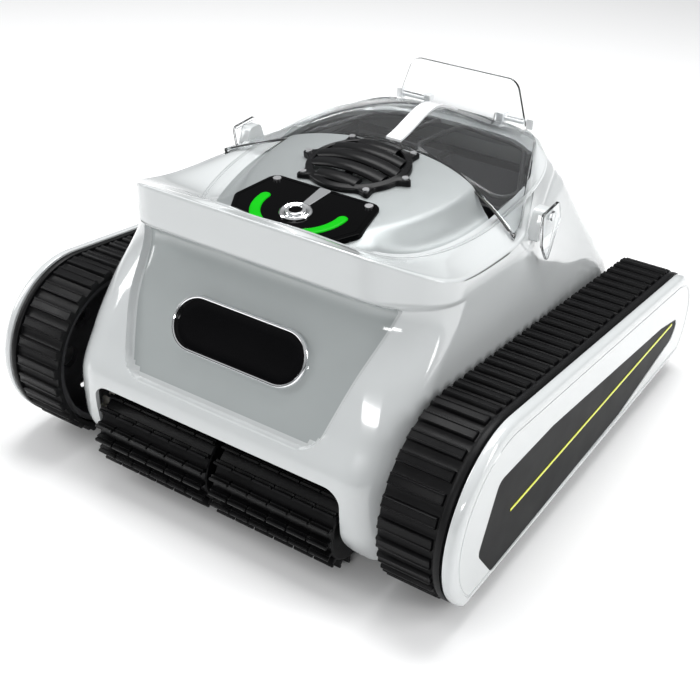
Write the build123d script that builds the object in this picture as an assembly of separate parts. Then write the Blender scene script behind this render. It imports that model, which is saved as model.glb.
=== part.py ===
from build123d import *
import os
from math import sin, cos, tan, pi, radians, degrees, atan, asin, hypot, exp, sqrt

# Cordless tracked pool cleaner. Millimetres, +Z up, front towards -Y, ground at Z = 0.
# The origin is on the ground at the middle of the footprint.

# ---------------------------------------------------------------- driving dimensions
WIDTH = 420.0                # over both side covers
WHEELBASE = 330.0            # front wheel centre to rear wheel centre
TRACK_R_FRONT = 74.0         # front end of the track, over the tread bars
TRACK_R_REAR = 57.0          # rear end of the track, over the tread bars
BELT_IN, BELT_OUT = 150.0, 200.0    # belt edges, distance from the centre plane
BAR_HEIGHT = 4.0             # tread bars stand this far out of the belt band
BAND = 3.5                   # thickness of the belt band
BAR_COUNT = 66
BAR_WIDTH = 8.0
WHEEL_GAP = 1.0              # wheels run this far inside the belt
COVER_IN, COVER_OUT = 201.5, WIDTH / 2
COVER_FLOOR = 18.0           # lower edge of the side covers above the ground
BRUSH_R = 37.9
BRUSH_Y, BRUSH_Z = -36.0, 41.0      # brush axis, Y counted from the front wheel
BRUSH_END = 112.0
SHAFT_R = 5.0
SPINDLE_R = 4.0
RUN_GAP = 0.06               # radial clearance of every running fit
GEAR_MODULE = 2.5
DRIVE_TEETH, SMALL_TEETH = 26, 13
GEAR_IN, GEAR_OUT = 122.0, 129.0
WALL = 3.0                   # moulded wall thickness
DECK_SLOPE = 0.11            # rise of the deck towards the rear
DECK_Y, DECK_Z = 20.0, 222.0
GRILLE_Y = 125.0
GRILLE_R = 42.0
BUTTON_Y = 41.0
BUTTON_R = 8.0
HINGE_Y, HINGE_Z = 297.0, 234.8     # rear hinge line of the clear canopy
LATCH_Y, LATCH_Z = 168.0, 218.0
PUMP_R = 38.0
ROLLER_R, ROLLER_Y = 20.0, 165.0
ROLLER_Z = BAR_HEIGHT + BAND + WHEEL_GAP + ROLLER_R
BOX_Y0, BOX_Y1 = 24.0, 172.0        # sealed motor box
BOX_X, BOX_Z0, BOX_Z1 = 111.0, 30.0, 136.0

FRONT = -(WHEELBASE + TRACK_R_REAR - TRACK_R_FRONT) / 2    # Y of the front wheel centre
REAR = FRONT + WHEELBASE
DECK_TILT = degrees(atan(DECK_SLOPE))
TOP_LEAN = 2 * degrees(asin((TRACK_R_FRONT - TRACK_R_REAR) / hypot(WHEELBASE, TRACK_R_FRONT - TRACK_R_REAR)))

BASE = (Align.CENTER, Align.CENTER, Align.MIN)     # solids stand on their own plane
nodes = {}


# ---------------------------------------------------------------- helpers
def block(x0, x1, y0, y1, z0, z1):
    """A box between two corners, with Y counted from the front wheel centre."""
    solid = Box(x1 - x0, y1 - y0, z1 - z0, align=(Align.MIN, Align.MIN, Align.MIN))
    return Pos(x0, FRONT + y0, z0) * solid


def rod_x(radius, x0, x1, y, z):
    """A cylinder along X, with Y counted from the front wheel centre."""
    low, high = min(x0, x1), max(x0, x1)
    return Pos((low + high) / 2, FRONT + y, z) * Rot(0, 90, 0) * Cylinder(radius, high - low)


def rod_z(radius, x, y, z0, z1):
    return Pos(x, FRONT + y, (z0 + z1) / 2) * Cylinder(radius, z1 - z0)


def ring_x(outer, inner, x0, x1, y, z):
    return rod_x(outer, x0, x1, y, z) - rod_x(inner, min(x0, x1) - 1, max(x0, x1) + 1, y, z)


def both_sides(solid):
    """The solid and its mirror image across the centre plane."""
    return [solid, mirror(solid, Plane.YZ)]


def group(name, solids):
    nodes[name] = Compound(label=name, children=list(solids))


def keep(name, shape):
    """Store one piece, which has to be a single solid."""
    solids = shape.solids()
    if len(solids) != 1:
        print("warning:", name, "has", len(solids), "solids")
    solid = max(solids, key=lambda piece: piece.volume)
    solid.label = name
    nodes[name] = solid


def common(first, second):
    """The one solid that two shapes share."""
    return max((first & second).solids(), key=lambda piece: piece.volume)


def on_deck(x, y, height=0.0):
    """Location on the deck's top face: its Z is the deck's normal."""
    along = (y - DECK_Y) / cos(radians(DECK_TILT))
    return Location((0, FRONT + DECK_Y, DECK_Z), (DECK_TILT, 0, 0)) * Location((x, along, height))


def track_face(inset):
    """Outline of the track, moved inwards by inset, as a face in the YZ plane."""
    r1, r2 = TRACK_R_FRONT - inset, TRACK_R_REAR - inset
    c1, c2 = (FRONT, TRACK_R_FRONT), (REAR, TRACK_R_REAR)
    lean = 90 - TOP_LEAN
    ny, nz = cos(radians(lean)), sin(radians(lean))
    top1 = (c1[0] + r1 * ny, c1[1] + r1 * nz)
    top2 = (c2[0] + r2 * ny, c2[1] + r2 * nz)
    edges = [Line((c1[0], inset), (c2[0], inset)), CenterArc(c2, r2, -90, 90 + lean),
             Line(top2, top1), CenterArc(c1, r1, lean, 270 - lean)]
    return make_face(edges)


def tread_spots(inset, count):
    """Evenly spaced places along the track outline: (y, z, outward angle in degrees)."""
    r1, r2 = TRACK_R_FRONT - inset, TRACK_R_REAR - inset
    lean = radians(90 - TOP_LEAN)
    rear_turn, front_turn = lean + pi / 2, 3 * pi / 2 - lean
    lengths = [WHEELBASE, r2 * rear_turn, WHEELBASE, r1 * front_turn]
    spots = []
    for i in range(count):
        s = sum(lengths) * (i + 0.5) / count
        if s < lengths[0]:
            spots.append((FRONT + s, inset, -90.0))
            continue
        s -= lengths[0]
        if s < lengths[1]:
            a = -pi / 2 + s / r2
            spots.append((REAR + r2 * cos(a), TRACK_R_REAR + r2 * sin(a), degrees(a)))
            continue
        s -= lengths[1]
        if s < lengths[2]:
            y = REAR + r2 * cos(lean) - s * sin(lean)
            spots.append((y, TRACK_R_REAR + r2 * sin(lean) + s * cos(lean), degrees(lean)))
            continue
        a = lean + (s - lengths[2]) / r1
        spots.append((FRONT + r1 * cos(a), TRACK_R_FRONT + r1 * sin(a), degrees(a)))
    return spots


def gear_face(teeth, turn, backlash=0.22):
    """Involute spur gear outline, with a tooth centred at the angle turn (degrees)."""
    pitch_r = GEAR_MODULE * teeth / 2
    base_r = pitch_r * cos(radians(20))
    tip_r = pitch_r + 0.8 * GEAR_MODULE
    root_r = pitch_r - 1.15 * GEAR_MODULE
    half = pi / (2 * teeth) - backlash / (2 * pitch_r) + tan(radians(20)) - radians(20)
    outline = []
    for k in range(teeth):
        middle = radians(turn) + 2 * pi * k / teeth
        flank = []
        for i in range(5):
            r = max(base_r, root_r) + (tip_r - max(base_r, root_r)) * i / 4
            roll = sqrt(max(0.0, (r / base_r) ** 2 - 1))
            flank.append((r, half - (roll - atan(roll))))
        flank.insert(0, (root_r, flank[0][1] + 0.02))
        outline += [(r * cos(middle - a), r * sin(middle - a)) for r, a in flank]
        outline += [(r * cos(middle + a), r * sin(middle + a)) for r, a in reversed(flank)]
    return make_face(Polyline(*outline, close=True))


def gear(teeth, turn, x0, x1, y, z):
    """Spur gear on an axis along X."""
    blank = extrude(gear_face(teeth, turn), x1 - x0)
    return Plane(origin=(x0, FRONT + y, z), x_dir=(0, 1, 0), z_dir=(1, 0, 0)).location * blank


# ---------------------------------------------------------------- body outline
# One row per level: height, front, shoulder, rear, half width, half width at the rear,
# and the radii of the front, shoulder and rear corners.
LEVELS = [
    (18, -45, 200, 374, 144, 136, 24, 120, 30),
    (50, -62, 200, 384, 145, 136, 28, 120, 34),
    (86, -65, 200, 382, 145, 134, 30, 120, 40),
    (120, -50, 190, 366, 145, 126, 34, 120, 50),
    (152, -33, 170, 346, 144, 114, 42, 120, 54),
    (193, -4, 150, 320, 142, 98, 50, 120, 52),
    (222, -4, 140, 306, 142, 84, 50, 110, 48),
    (246, -4, 135, 296, 142, 76, 50, 110, 44),
]


def level_face(level, inset):
    z, front, shoulder, rear, half, half_rear, r_front, r_shoulder, r_rear = level
    half, half_rear = half - inset, half_rear - inset
    front, rear = FRONT + front + inset, FRONT + rear - inset
    mid = FRONT + shoulder
    corners = [(-half, front), (half, front), (half, mid), (half_rear, rear), (-half_rear, rear), (-half, mid)]
    face = make_face(Polyline(*corners, close=True))
    for y, radius in ((front, r_front - inset), (mid, r_shoulder - inset), (rear, r_rear - inset)):
        picked = [v for v in face.vertices() if abs(v.Y - y) < 1e-3]
        face = fillet(picked, radius)
    return Pos(0, 0, z) * face


def body_loft(inset, top=None):
    levels = [level for level in LEVELS if top is None or level[0] <= top]
    return loft([level_face(level, inset).face() for level in levels])


def rim_trim():
    """Everything above the rim, which falls gently towards the rear."""
    slab = Box(400, 600, 60, align=(Align.CENTER, Align.MIN, Align.MIN))
    return Location((0, FRONT + 20, 244), (-3.0, 0, 0)) * slab


# ---------------------------------------------------------------- upper shell
LIP_FRONT, LIP_FLOOR, LIP_WALL = -18.0, 209.0, 5.0


def lip_plan(inset):
    """Plan of the lip that overhangs the nose."""
    corners = [(-102, LIP_FRONT + inset), (102, LIP_FRONT + inset), (134 - inset, 4), (142 - inset, 40),
               (142 - inset, 60), (-142 + inset, 60), (-142 + inset, 40), (-134 + inset, 4)]
    face = make_face(Polyline(*[(x, FRONT + y) for x, y in corners], close=True))
    return fillet([v for v in face.vertices() if v.Y < FRONT + 50], 14)


brush_mouth = block(-115, 115, -90, 0, 0, 86)
NOSE_LEAN = 32.0             # the nose leans back this many degrees
WINDOW_DEPTH = 6.0           # the window sits this far below the nose
WINDOW_SPAN, WINDOW_OUTER = 78.0, 44.0
window_plane = Location((0, FRONT - 33, 152), (90 - NOSE_LEAN, 0, 0)) * Pos(0, 0, -WINDOW_DEPTH)
window_hole = window_plane * extrude(SlotCenterToCenter(WINDOW_SPAN, WINDOW_OUTER + 1), 40, both=True)
lip = Pos(0, 0, LIP_FLOOR) * extrude(lip_plan(0), 37)
bowl = Pos(0, 0, LIP_FLOOR + LIP_WALL) * extrude(lip_plan(LIP_WALL), 50)
shell = body_loft(0) + lip - body_loft(WALL) - bowl
shell = shell - brush_mouth - window_hole - rim_trim()
for side in (-1, 1):
    shell = shell - rod_x(9.0, side * 120, side * 160, 0, TRACK_R_FRONT)
    shell = shell - rod_x(SHAFT_R, side * 120, side * 160, WHEELBASE, TRACK_R_REAR)
    shell = shell - rod_x(SPINDLE_R, side * 120, side * 160, ROLLER_Y, ROLLER_Z)
    shell = shell - rod_x(SPINDLE_R, side * 120, side * 160, LATCH_Y, LATCH_Z)
    shell = shell - rod_x(19.6, side * 120, side * 136, BRUSH_Y, BRUSH_Z)
port_hole = Pos(0, FRONT + 372, 100) * Rot(90, 0, 0) * Cylinder(14, 60)
keep("upper_shell", shell - port_hole)

window_ring = extrude(SlotCenterToCenter(WINDOW_SPAN, WINDOW_OUTER), 4)
window_ring = window_ring - extrude(SlotCenterToCenter(WINDOW_SPAN, WINDOW_OUTER - 10), 4)
lens = extrude(SlotCenterToCenter(WINDOW_SPAN, WINDOW_OUTER - 10.4), 2.5)
gasket = extrude(SlotCenterToCenter(WINDOW_SPAN, WINDOW_OUTER - 6.6), 1.5)
gasket = gasket - extrude(SlotCenterToCenter(WINDOW_SPAN, WINDOW_OUTER - 14), 1.5)
keep("window_bezel", window_plane * Pos(0, 0, 0.5) * window_ring)
keep("front_window", window_plane * Pos(0, 0, 0.5) * lens)
keep("window_gasket", window_plane * Pos(0, 0, -1.0) * gasket)

# ---------------------------------------------------------------- chassis
BED_TOP = 60.0
BED_FLOOR = 14.0


def bed_prism(inset, z0, z1):
    """Plan of the body's lowest level behind the brush, moved inwards, between two heights."""
    plan = Pos(0, 0, z0 - LEVELS[0][0]) * level_face(LEVELS[0], inset)
    return extrude(plan, z1 - z0) - block(-200, 200, -120, 6 + inset - WALL, 0, 100)


bed = bed_prism(WALL + 0.8, BED_FLOOR, BED_TOP) - bed_prism(WALL + 4.8, BED_FLOOR + 4, BED_TOP + 1)
bed = bed + block(-136, 136, -18, 10, BED_FLOOR, 26)
bed = bed - rod_x(BRUSH_R + 5, -116, 116, BRUSH_Y, BRUSH_Z)
for side in (-1, 1):
    ear = block(side * 117 - 2.5, side * 117 + 2.5, -46, 14, 33, 60)
    ear = ear + block(side * 117 - 2.5, side * 117 + 2.5, -38, 14, 18, 34)
    bed = bed + ear - rod_x(6.0, side * 110, side * 122, BRUSH_Y, BRUSH_Z)
    bed = bed - block(side * 125.5 - 5.5, side * 125.5 + 5.5, -40, 75, 32, BED_TOP + 1)
    bed = bed - rod_x(SHAFT_R, side * 125, side * 145, WHEELBASE, TRACK_R_REAR)
    bed = bed - rod_x(SPINDLE_R, side * 125, side * 145, ROLLER_Y, ROLLER_Z)
bed = bed + block(-2, 2, -14, 14, 20, 56) - rod_x(BRUSH_R - 16, -3, 3, BRUSH_Y, BRUSH_Z)
keep("chassis_tray", bed - block(-88, 88, 190, 216, 10, 20))

centre_arm = block(-2, 2, BRUSH_Y - 7, -14, 34, 48) + rod_x(8, -2, 2, BRUSH_Y, BRUSH_Z)
keep("brush_bearing", centre_arm - rod_x(SPINDLE_R + RUN_GAP, -3, 3, BRUSH_Y, BRUSH_Z))

# ---------------------------------------------------------------- front brushes and gears
mesh_angle = degrees(atan((TRACK_R_FRONT - BRUSH_Z) / -BRUSH_Y))     # brush gear to drive gear
PINION_Y, PINION_Z = 48.0, TRACK_R_FRONT - sqrt((1.5 * GEAR_MODULE * SMALL_TEETH) ** 2 - 48.0 ** 2)
pinion_angle = degrees(atan((PINION_Z - TRACK_R_FRONT) / PINION_Y))


def small_turn(towards_gear):
    """Turn of a small gear that puts a gap where the drive gear has a tooth."""
    return towards_gear + 180.0 / SMALL_TEETH


drive_step = 360.0 / DRIVE_TEETH
towards_brush = 180 + mesh_angle
brush_phase = towards_brush / drive_step
brush_phase = (brush_phase - round(brush_phase)) * drive_step
pinion_phase = pinion_angle / drive_step
pinion_phase = (pinion_phase - round(pinion_phase)) * drive_step

for name, side in (("left", -1), ("right", 1)):
    tube = ring_x(26, 23, side * 3, side * BRUSH_END, BRUSH_Y, BRUSH_Z)
    for x in (3, BRUSH_END - 3):
        tube = tube + ring_x(25, SPINDLE_R, side * x, side * (x + 3), BRUSH_Y, BRUSH_Z)
    for k in range(12):
        fin = Box(BRUSH_END - 3, 3.0, BRUSH_R - 24.5, align=BASE)
        fin = Pos(0, 0, 24.5) * fin
        tube = tube + Pos(side * (BRUSH_END + 3) / 2, FRONT + BRUSH_Y, BRUSH_Z) * Rot(30 * k, 0, 0) * fin
    keep(name + "_brush", tube)

    low, high = (GEAR_IN, GEAR_OUT) if side > 0 else (-GEAR_OUT, -GEAR_IN)
    turn = small_turn(mesh_angle) + 2 * brush_phase
    brush_gear = gear(SMALL_TEETH, turn, low, high, BRUSH_Y, BRUSH_Z)
    keep(name + "_brush_gear", brush_gear + rod_x(SPINDLE_R, side * 0.3, side * 134, BRUSH_Y, BRUSH_Z))

    drive_gear = gear(DRIVE_TEETH, 0.0, low, high, 0, TRACK_R_FRONT)
    keep(name + "_drive_gear", drive_gear + rod_x(SHAFT_R, side * 121, side * 200.5, 0, TRACK_R_FRONT))

    turn = small_turn(180 + pinion_angle) + 2 * pinion_phase
    pinion = gear(SMALL_TEETH, turn, low, high, PINION_Y, PINION_Z)
    keep(name + "_pinion", pinion + rod_x(SPINDLE_R, side * 96, side * 133, PINION_Y, PINION_Z))

# ---------------------------------------------------------------- wheels and tracks
front_wheel_r = TRACK_R_FRONT - BAR_HEIGHT - BAND - WHEEL_GAP
rear_wheel_r = TRACK_R_REAR - BAR_HEIGHT - BAND - WHEEL_GAP
WHEEL_IN, WHEEL_OUT = 153.0, 197.0


def wheel(radius, bore, side, y, z, holes):
    rim = ring_x(radius, radius - 5, side * WHEEL_IN, side * WHEEL_OUT, y, z)
    hub = ring_x(bore + 6, bore, side * WHEEL_IN, side * WHEEL_OUT, y, z)
    web = ring_x(radius - 4, bore + 5, side * 173, side * 178, y, z)
    middle = (radius + bore) / 2
    for k in range(holes):
        a = 2 * pi * k / holes
        web = web - rod_x(middle * 0.26, side * 170, side * 180, y + middle * cos(a), z + middle * sin(a))
    return rim + hub + web


def belt(side):
    band = track_face(BAR_HEIGHT) - track_face(BAR_HEIGHT + BAND)
    for y, z, angle in tread_spots(BAR_HEIGHT, BAR_COUNT):
        bar = Pos(y, z) * Rot(0, 0, angle) * Pos(BAR_HEIGHT / 2 - 1, 0) * Rectangle(BAR_HEIGHT + 2, BAR_WIDTH)
        band = band + bar
    solid = extrude(Plane.YZ * band, BELT_OUT - BELT_IN)
    return Pos(BELT_IN if side > 0 else -BELT_OUT, 0, 0) * solid


for name, side in (("left", -1), ("right", 1)):
    keep(name + "_belt", belt(side))
    keep(name + "_front_wheel", wheel(front_wheel_r, SHAFT_R, side, 0, TRACK_R_FRONT, 6))
    keep(name + "_rear_wheel", wheel(rear_wheel_r, SHAFT_R + RUN_GAP, side, WHEELBASE, TRACK_R_REAR, 5))
    keep(name + "_roller", ring_x(ROLLER_R, SPINDLE_R + RUN_GAP, side * WHEEL_IN, side * WHEEL_OUT,
                                  ROLLER_Y, ROLLER_Z))

axles = []
bushes = []
for side in (-1, 1):
    axles.append(rod_x(SHAFT_R, side * 130, side * COVER_IN, WHEELBASE, TRACK_R_REAR))
    axles.append(rod_x(SPINDLE_R, side * 138, side * COVER_IN, ROLLER_Y, ROLLER_Z))
    bushes.append(ring_x(9, SHAFT_R + RUN_GAP, side * 139, side * 149, 0, TRACK_R_FRONT))
    bushes.append(ring_x(6, SPINDLE_R + RUN_GAP, side * 114.5, side * 119.5, BRUSH_Y, BRUSH_Z))
group("wheel_axles", axles)
group("shaft_bushes", bushes)

# ---------------------------------------------------------------- side covers
INSET_DEPTH = 2.0


def inset_outline(grow):
    """Long pointed panel on the cover's face."""
    points = [(-36, 58), (-14, 108), (70, 106), (300, 78), (352, 66), (340, 48), (225, 29), (-10, 25)]
    face = make_face(Polyline(*[(FRONT + y, z) for y, z in points], close=True))
    face = fillet(face.vertices(), 9)
    return offset(face, grow) if grow else face


def side_cover(side):
    plate = extrude(Plane.YZ * track_face(1.0), COVER_OUT - COVER_IN)
    plate = Pos(COVER_IN, 0, 0) * plate
    plate = plate - block(190, 220, -100, 420, -5, COVER_FLOOR)
    pocket = Pos(COVER_OUT - INSET_DEPTH, 0, 0) * extrude(Plane.YZ * inset_outline(0.2), 5)
    plate = plate - pocket
    for y, z, r in ((100, 84, 9), (250, 76, 9)):
        plate = plate + rod_x(r, 146, COVER_IN + 1, y, z)
    plate = plate - rod_x(SHAFT_R + 1.5, 190, COVER_IN + 2, 0, TRACK_R_FRONT)
    return plate if side > 0 else mirror(plate, Plane.YZ)


for name, side in (("left", -1), ("right", 1)):
    keep(name + "_cover", side_cover(side))

inset = extrude(Plane.YZ * inset_outline(0), INSET_DEPTH - 0.8)
inset = Pos(COVER_OUT - INSET_DEPTH, 0, 0) * inset
stripe = block(COVER_OUT - 1.3, COVER_OUT - 0.4, 12, 335, 65, 67.2)
group("cover_insets", both_sides(inset - block(COVER_OUT - 1.3, 230, 12, 335, 65, 67.2)))
group("side_stripes", both_sides(stripe))

# ---------------------------------------------------------------- sealed motor box
box = block(-BOX_X, BOX_X, BOX_Y0, BOX_Y1, BOX_Z0, BOX_Z1)
box = box - block(-BOX_X + 4, BOX_X - 4, BOX_Y0 + 4, BOX_Y1 - 4, BOX_Z0 + 4, BOX_Z1 + 1)
box = box - rod_x(10, -120, 120, PINION_Y, PINION_Z)
for x in (-100, 100):
    for y in (34, 162):
        box = box + block(x - 4, x + 4, y - 4, y + 4, 18, BOX_Z0 + 1)
keep("motor_box", box)
lid = block(-BOX_X, BOX_X, BOX_Y0, BOX_Y1, BOX_Z1 + 1.5, BOX_Z1 + 5.5)
lid = lid - rod_z(10, 0, GRILLE_Y, BOX_Z1, BOX_Z1 + 8)
keep("motor_box_lid", lid)
seal = block(-BOX_X, BOX_X, BOX_Y0, BOX_Y1, BOX_Z1, BOX_Z1 + 1.5)
keep("box_seal", seal - block(-BOX_X + 3, BOX_X - 3, BOX_Y0 + 3, BOX_Y1 - 3, BOX_Z1 - 1, BOX_Z1 + 3))
screws = []
for x in (-BOX_X + 8, -36, 36, BOX_X - 8):
    for y in (BOX_Y0 + 8, BOX_Y1 - 8):
        screws.append(rod_z(3.5, x, y, BOX_Z1 + 5.5, BOX_Z1 + 8))
group("box_screws", screws)

motors = []
for side in (-1, 1):
    body = rod_x(18, side * 46, side * 104, PINION_Y, PINION_Z)
    motors.append(body - rod_x(SPINDLE_R + RUN_GAP, side * 94, side * 106, PINION_Y, PINION_Z))
group("drive_motors", motors)
battery = []
for row in range(2):
    for k in range(4):
        battery.append(rod_x(9.1, -71 + 72 * row, -1 + 72 * row, 79 + 18.6 * (k % 2), 45 + 18.6 * (k // 2)))
group("battery_pack", battery)
keep("circuit_board", block(-85, 85, 30, 104, 104, 106) + block(-60, -30, 40, 70, 106, 114)
     + block(10, 50, 50, 84, 106, 112))
pump_motor = rod_z(17, 0, GRILLE_Y, 60, 128)
keep("pump_motor", pump_motor - rod_z(SPINDLE_R + RUN_GAP, 0, GRILLE_Y, 110, 130))
keep("pump_shaft", rod_z(SPINDLE_R, 0, GRILLE_Y, 112, 206))
seals = [rod_z(10, 0, GRILLE_Y, BOX_Z1 + 1.5, BOX_Z1 + 7.5) - rod_z(SPINDLE_R + RUN_GAP, 0, GRILLE_Y, 130, 160)]
for side in (-1, 1):
    seals.append(ring_x(10, SPINDLE_R + RUN_GAP, side * (BOX_X - 4), side * (BOX_X + 1), PINION_Y, PINION_Z))
group("shaft_seals", seals)

# ---------------------------------------------------------------- pump outlet
blades = rod_z(12, 0, GRILLE_Y, 176, 200)
for k in range(4):
    blade = Pos(0, 0, 188) * Rot(0, 0, 90 * k) * Pos(24, 0, 0) * Rot(32, 0, 0) * Box(30, 3, 22)
    blades = blades + Pos(0, FRONT + GRILLE_Y, 0) * blade
blades = common(blades, rod_z(PUMP_R - 2.0, 0, GRILLE_Y, 170, 210))
keep("impeller", blades - rod_z(SPINDLE_R, 0, GRILLE_Y, 170, 210))
duct = rod_z(PUMP_R + 3, 0, GRILLE_Y, BOX_Z1 + 5.5, 240) - rod_z(PUMP_R, 0, GRILLE_Y, 130, 250)
for k in range(4):
    port = Pos(0, FRONT + GRILLE_Y, 157) * Rot(0, 0, 45 + 90 * k) * Pos(PUMP_R, 0, 0) * Box(30, 46, 22)
    duct = duct - port
above_deck = on_deck(0, GRILLE_Y, -WALL) * Box(300, 300, 60, align=BASE)
keep("outlet_duct", duct - above_deck)

# ---------------------------------------------------------------- deck and controls
deck_corners = [(-94, -12), (94, -12), (128, 16), (137, 60), (137, 122), (-137, 122), (-137, 60), (-128, 16)]
deck_plan = make_face(Polyline(*[(x, FRONT + y) for x, y in deck_corners], close=True))
deck_plan = fillet([v for v in deck_plan.vertices() if v.Y < FRONT + 100], 16)
rear_arc = Pos(0, FRONT - 56) * Circle(226)
deck_plan = deck_plan + (make_face(Polyline((-137, FRONT + 121), (137, FRONT + 121), (137, FRONT + 175),
                                            (-137, FRONT + 175), close=True)) & rear_arc)
deck = extrude(Pos(0, 0, 190) * deck_plan, 80)
slab = on_deck(0, 80, -WALL) * Box(400, 400, WALL, align=BASE)
deck = common(deck, slab)
deck = deck - rod_z(PUMP_R, 0, GRILLE_Y, 200, 260)
deck = deck - on_deck(0, BUTTON_Y) * Cylinder(BUTTON_R + 0.3, 20)

panel_points = [(-49, 65), (49, 65), (57, 24), (36, -14), (-36, -14), (-57, 24)]


def on_panel(x, y, height=0.0):
    """Location on the deck, counted from the button's centre."""
    return on_deck(0, BUTTON_Y, height) * Location((x, y, 0))


panel_face = fillet(make_face(Polyline(*[(x, y - 24) for x, y in panel_points], close=True)).vertices(), 9)
panel = on_panel(0, 0, -1.0) * extrude(panel_face, 2.2)
deck = deck - panel
panel = panel - on_panel(0, 0) * Cylinder(BUTTON_R + 0.3, 20)
lights = []
for side in (-1, 1):
    start = -72 if side > 0 else 180
    arc = on_panel(0, 8, 0.4) * extrude(
        make_face([CenterArc((0, 0), 39, start, 72), CenterArc((0, 0), 31, start, 72),
                   Line((39 * cos(radians(start)), 39 * sin(radians(start))),
                        (31 * cos(radians(start)), 31 * sin(radians(start)))),
                   Line((39 * cos(radians(start + 72)), 39 * sin(radians(start + 72))),
                        (31 * cos(radians(start + 72)), 31 * sin(radians(start + 72))))]), 1.2)
    lights.append(arc)
    panel = panel - arc
keep("control_panel", panel)
group("light_guides", lights)
key = on_panel(0, 0, -4.5) * Cylinder(BUTTON_R, 9.0, align=BASE)
keep("power_button", key)
collar = Cylinder(12.5, 2.2, align=BASE)
collar = collar - Cylinder(BUTTON_R + 0.3, 10)
strip = on_panel(0, 26.5, 1.2) * Box(7, 26, 0.8, align=BASE)
group("button_ring", [on_panel(0, 0, 1.2) * collar, strip])
group("panel_screws", [on_panel(side * 42, 34, 1.2) * Cylinder(3.2, 1.4, align=BASE) for side in (-1, 1)])
keep("deck", deck)

# ---------------------------------------------------------------- outlet grille
frame_ring = Cylinder(GRILLE_R, 6, align=BASE) - Cylinder(PUMP_R - 3, 20)
grille = frame_ring + Pos(0, 0, 2) * Cylinder(9, 6, align=BASE)
for k in range(-2, 3):
    half = sqrt((PUMP_R - 2) ** 2 - (15 * k) ** 2)
    grille = grille + Pos(0, 15 * k, 2) * Box(2 * half + 2, 4, 5, align=BASE)
grille = grille + Pos(0, 0, 2) * Box(5, 2 * PUMP_R - 4, 4, align=BASE)
lug_angles = (-5, 50, 130, 185, 230, 310)
grille_screws = []
for angle in lug_angles:
    spot = Rot(0, 0, angle) * Pos(GRILLE_R + 3, 0, 0)
    grille = grille + spot * Cylinder(5, 4, align=BASE)
    grille_screws.append(on_deck(0, GRILLE_Y, 4) * spot * Cylinder(2.6, 1.2, align=BASE))
keep("outlet_grille", on_deck(0, GRILLE_Y) * grille)
group("grille_screws", grille_screws)

# ---------------------------------------------------------------- clear canopy
def canopy_height(x, y):
    """Outer height of the clear dome, with Y counted from the front wheel centre."""
    return 245.5 - 0.0524 * (y - 20) + 18.5 * exp(-(x / 95) ** 2 - ((y - 232) / 42) ** 2)


def dome_surface(drop):
    """Smooth sheet through the dome's heights, lowered by drop."""
    rows = []
    for i in range(9):
        y = 110 + 25.0 * i
        rows.append([(x, FRONT + y, canopy_height(x, y) - drop) for x in range(-160, 161, 20)])
    return Face.make_surface_from_array_of_points([[Vector(*p) for p in row] for row in rows])


def dome_sheet(drop, thickness):
    return Solid.extrude(dome_surface(drop), Vector(0, 0, -thickness))


def canopy_plan(inset):
    """Plan of the canopy: the top opening behind the deck."""
    plan = Pos(0, 0, 190 - LEVELS[-1][0]) * level_face(LEVELS[-1], WALL + 1.2 + inset)
    ahead = Pos(0, FRONT - 56, 190) * Circle(227 + inset)
    return plan - ahead


canopy_column = extrude(canopy_plan(0), 90)
canopy = common(dome_sheet(0, 2.5), canopy_column)
skirt = common(dome_sheet(2.4, 6), canopy_column) - extrude(canopy_plan(3), 90)
canopy = canopy + skirt
HINGE_SWEEP = 6.4            # clear radius round the hinge posts
for side in (-1, 1):
    canopy = canopy - rod_x(HINGE_SWEEP, side * 32.5, side * 69.5, HINGE_Y, HINGE_Z)
    low, high = min(side * 40, side * 62), max(side * 40, side * 62)
    canopy = canopy + rod_x(4.0, low, high, HINGE_Y, HINGE_Z) + block(low, high, 284, HINGE_Y, 230, HINGE_Z)
    canopy = canopy - rod_x(2.5 + RUN_GAP, low - 5, high + 5, HINGE_Y, HINGE_Z)
keep("canopy", canopy)

keep("canopy_strut", common(dome_sheet(-2.0, 2.0), block(-7, 7, 175, 270, 200, 280)))

wing_face = make_face(Polyline((-64, 0), (64, 0), (52, 40), (-52, 40), close=True))
wing_face = fillet([v for v in wing_face.vertices() if v.Y > 20], 12)
wing_top = 272.0
wing_plane = Location((0, FRONT + 290, wing_top - 40), (90, 0, 0))
wing = wing_plane * extrude(wing_face, 2.5, both=True)
for side in (-1, 1):
    wing = wing - block(side * 51 - 11.5, side * 51 + 11.5, 280, 300, 225, HINGE_Z + 0.3)
    wing = wing - rod_x(HINGE_SWEEP, side * 32.5, side * 69.5, HINGE_Y, HINGE_Z)
keep("rear_wing", wing - dome_sheet(-0.1, 30))

pins = []
for side in (-1, 1):
    pin = rod_x(2.5, side * 34, side * 68, HINGE_Y, HINGE_Z)
    pins.append(pin)
    for x in (36.5, 65.5):
        post = block(side * x - 3, side * x + 3, HINGE_Y - 4, HINGE_Y + 4, 230.0, HINGE_Z + 4)
        pins[-1] = pins[-1] + post
group("hinge_posts", pins)

# ---------------------------------------------------------------- canopy latches
pivots = []
for name, side in (("left", -1), ("right", 1)):
    lever = make_face(Polyline(*[(FRONT + LATCH_Y + y, LATCH_Z + z) for y, z in
                                 ((-40, 14), (-42, 20), (6, 20), (12, 0), (4, -12), (-22, -26))], close=True))
    lever = fillet(lever.vertices(), 1.5)
    plate = Pos(143.5 if side > 0 else -146.0, 0, 0) * extrude(Plane.YZ * lever, 2.5)
    plate = plate - rod_x(4 + RUN_GAP, side * 140, side * 150, LATCH_Y, LATCH_Z)
    keep(name + "_latch", plate)
    pivots.append(rod_x(4, side * 139, side * 146.4, LATCH_Y, LATCH_Z)
                  + rod_x(7.5, side * 146.4, side * 149, LATCH_Y, LATCH_Z))
group("latch_pivots", pivots)

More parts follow.
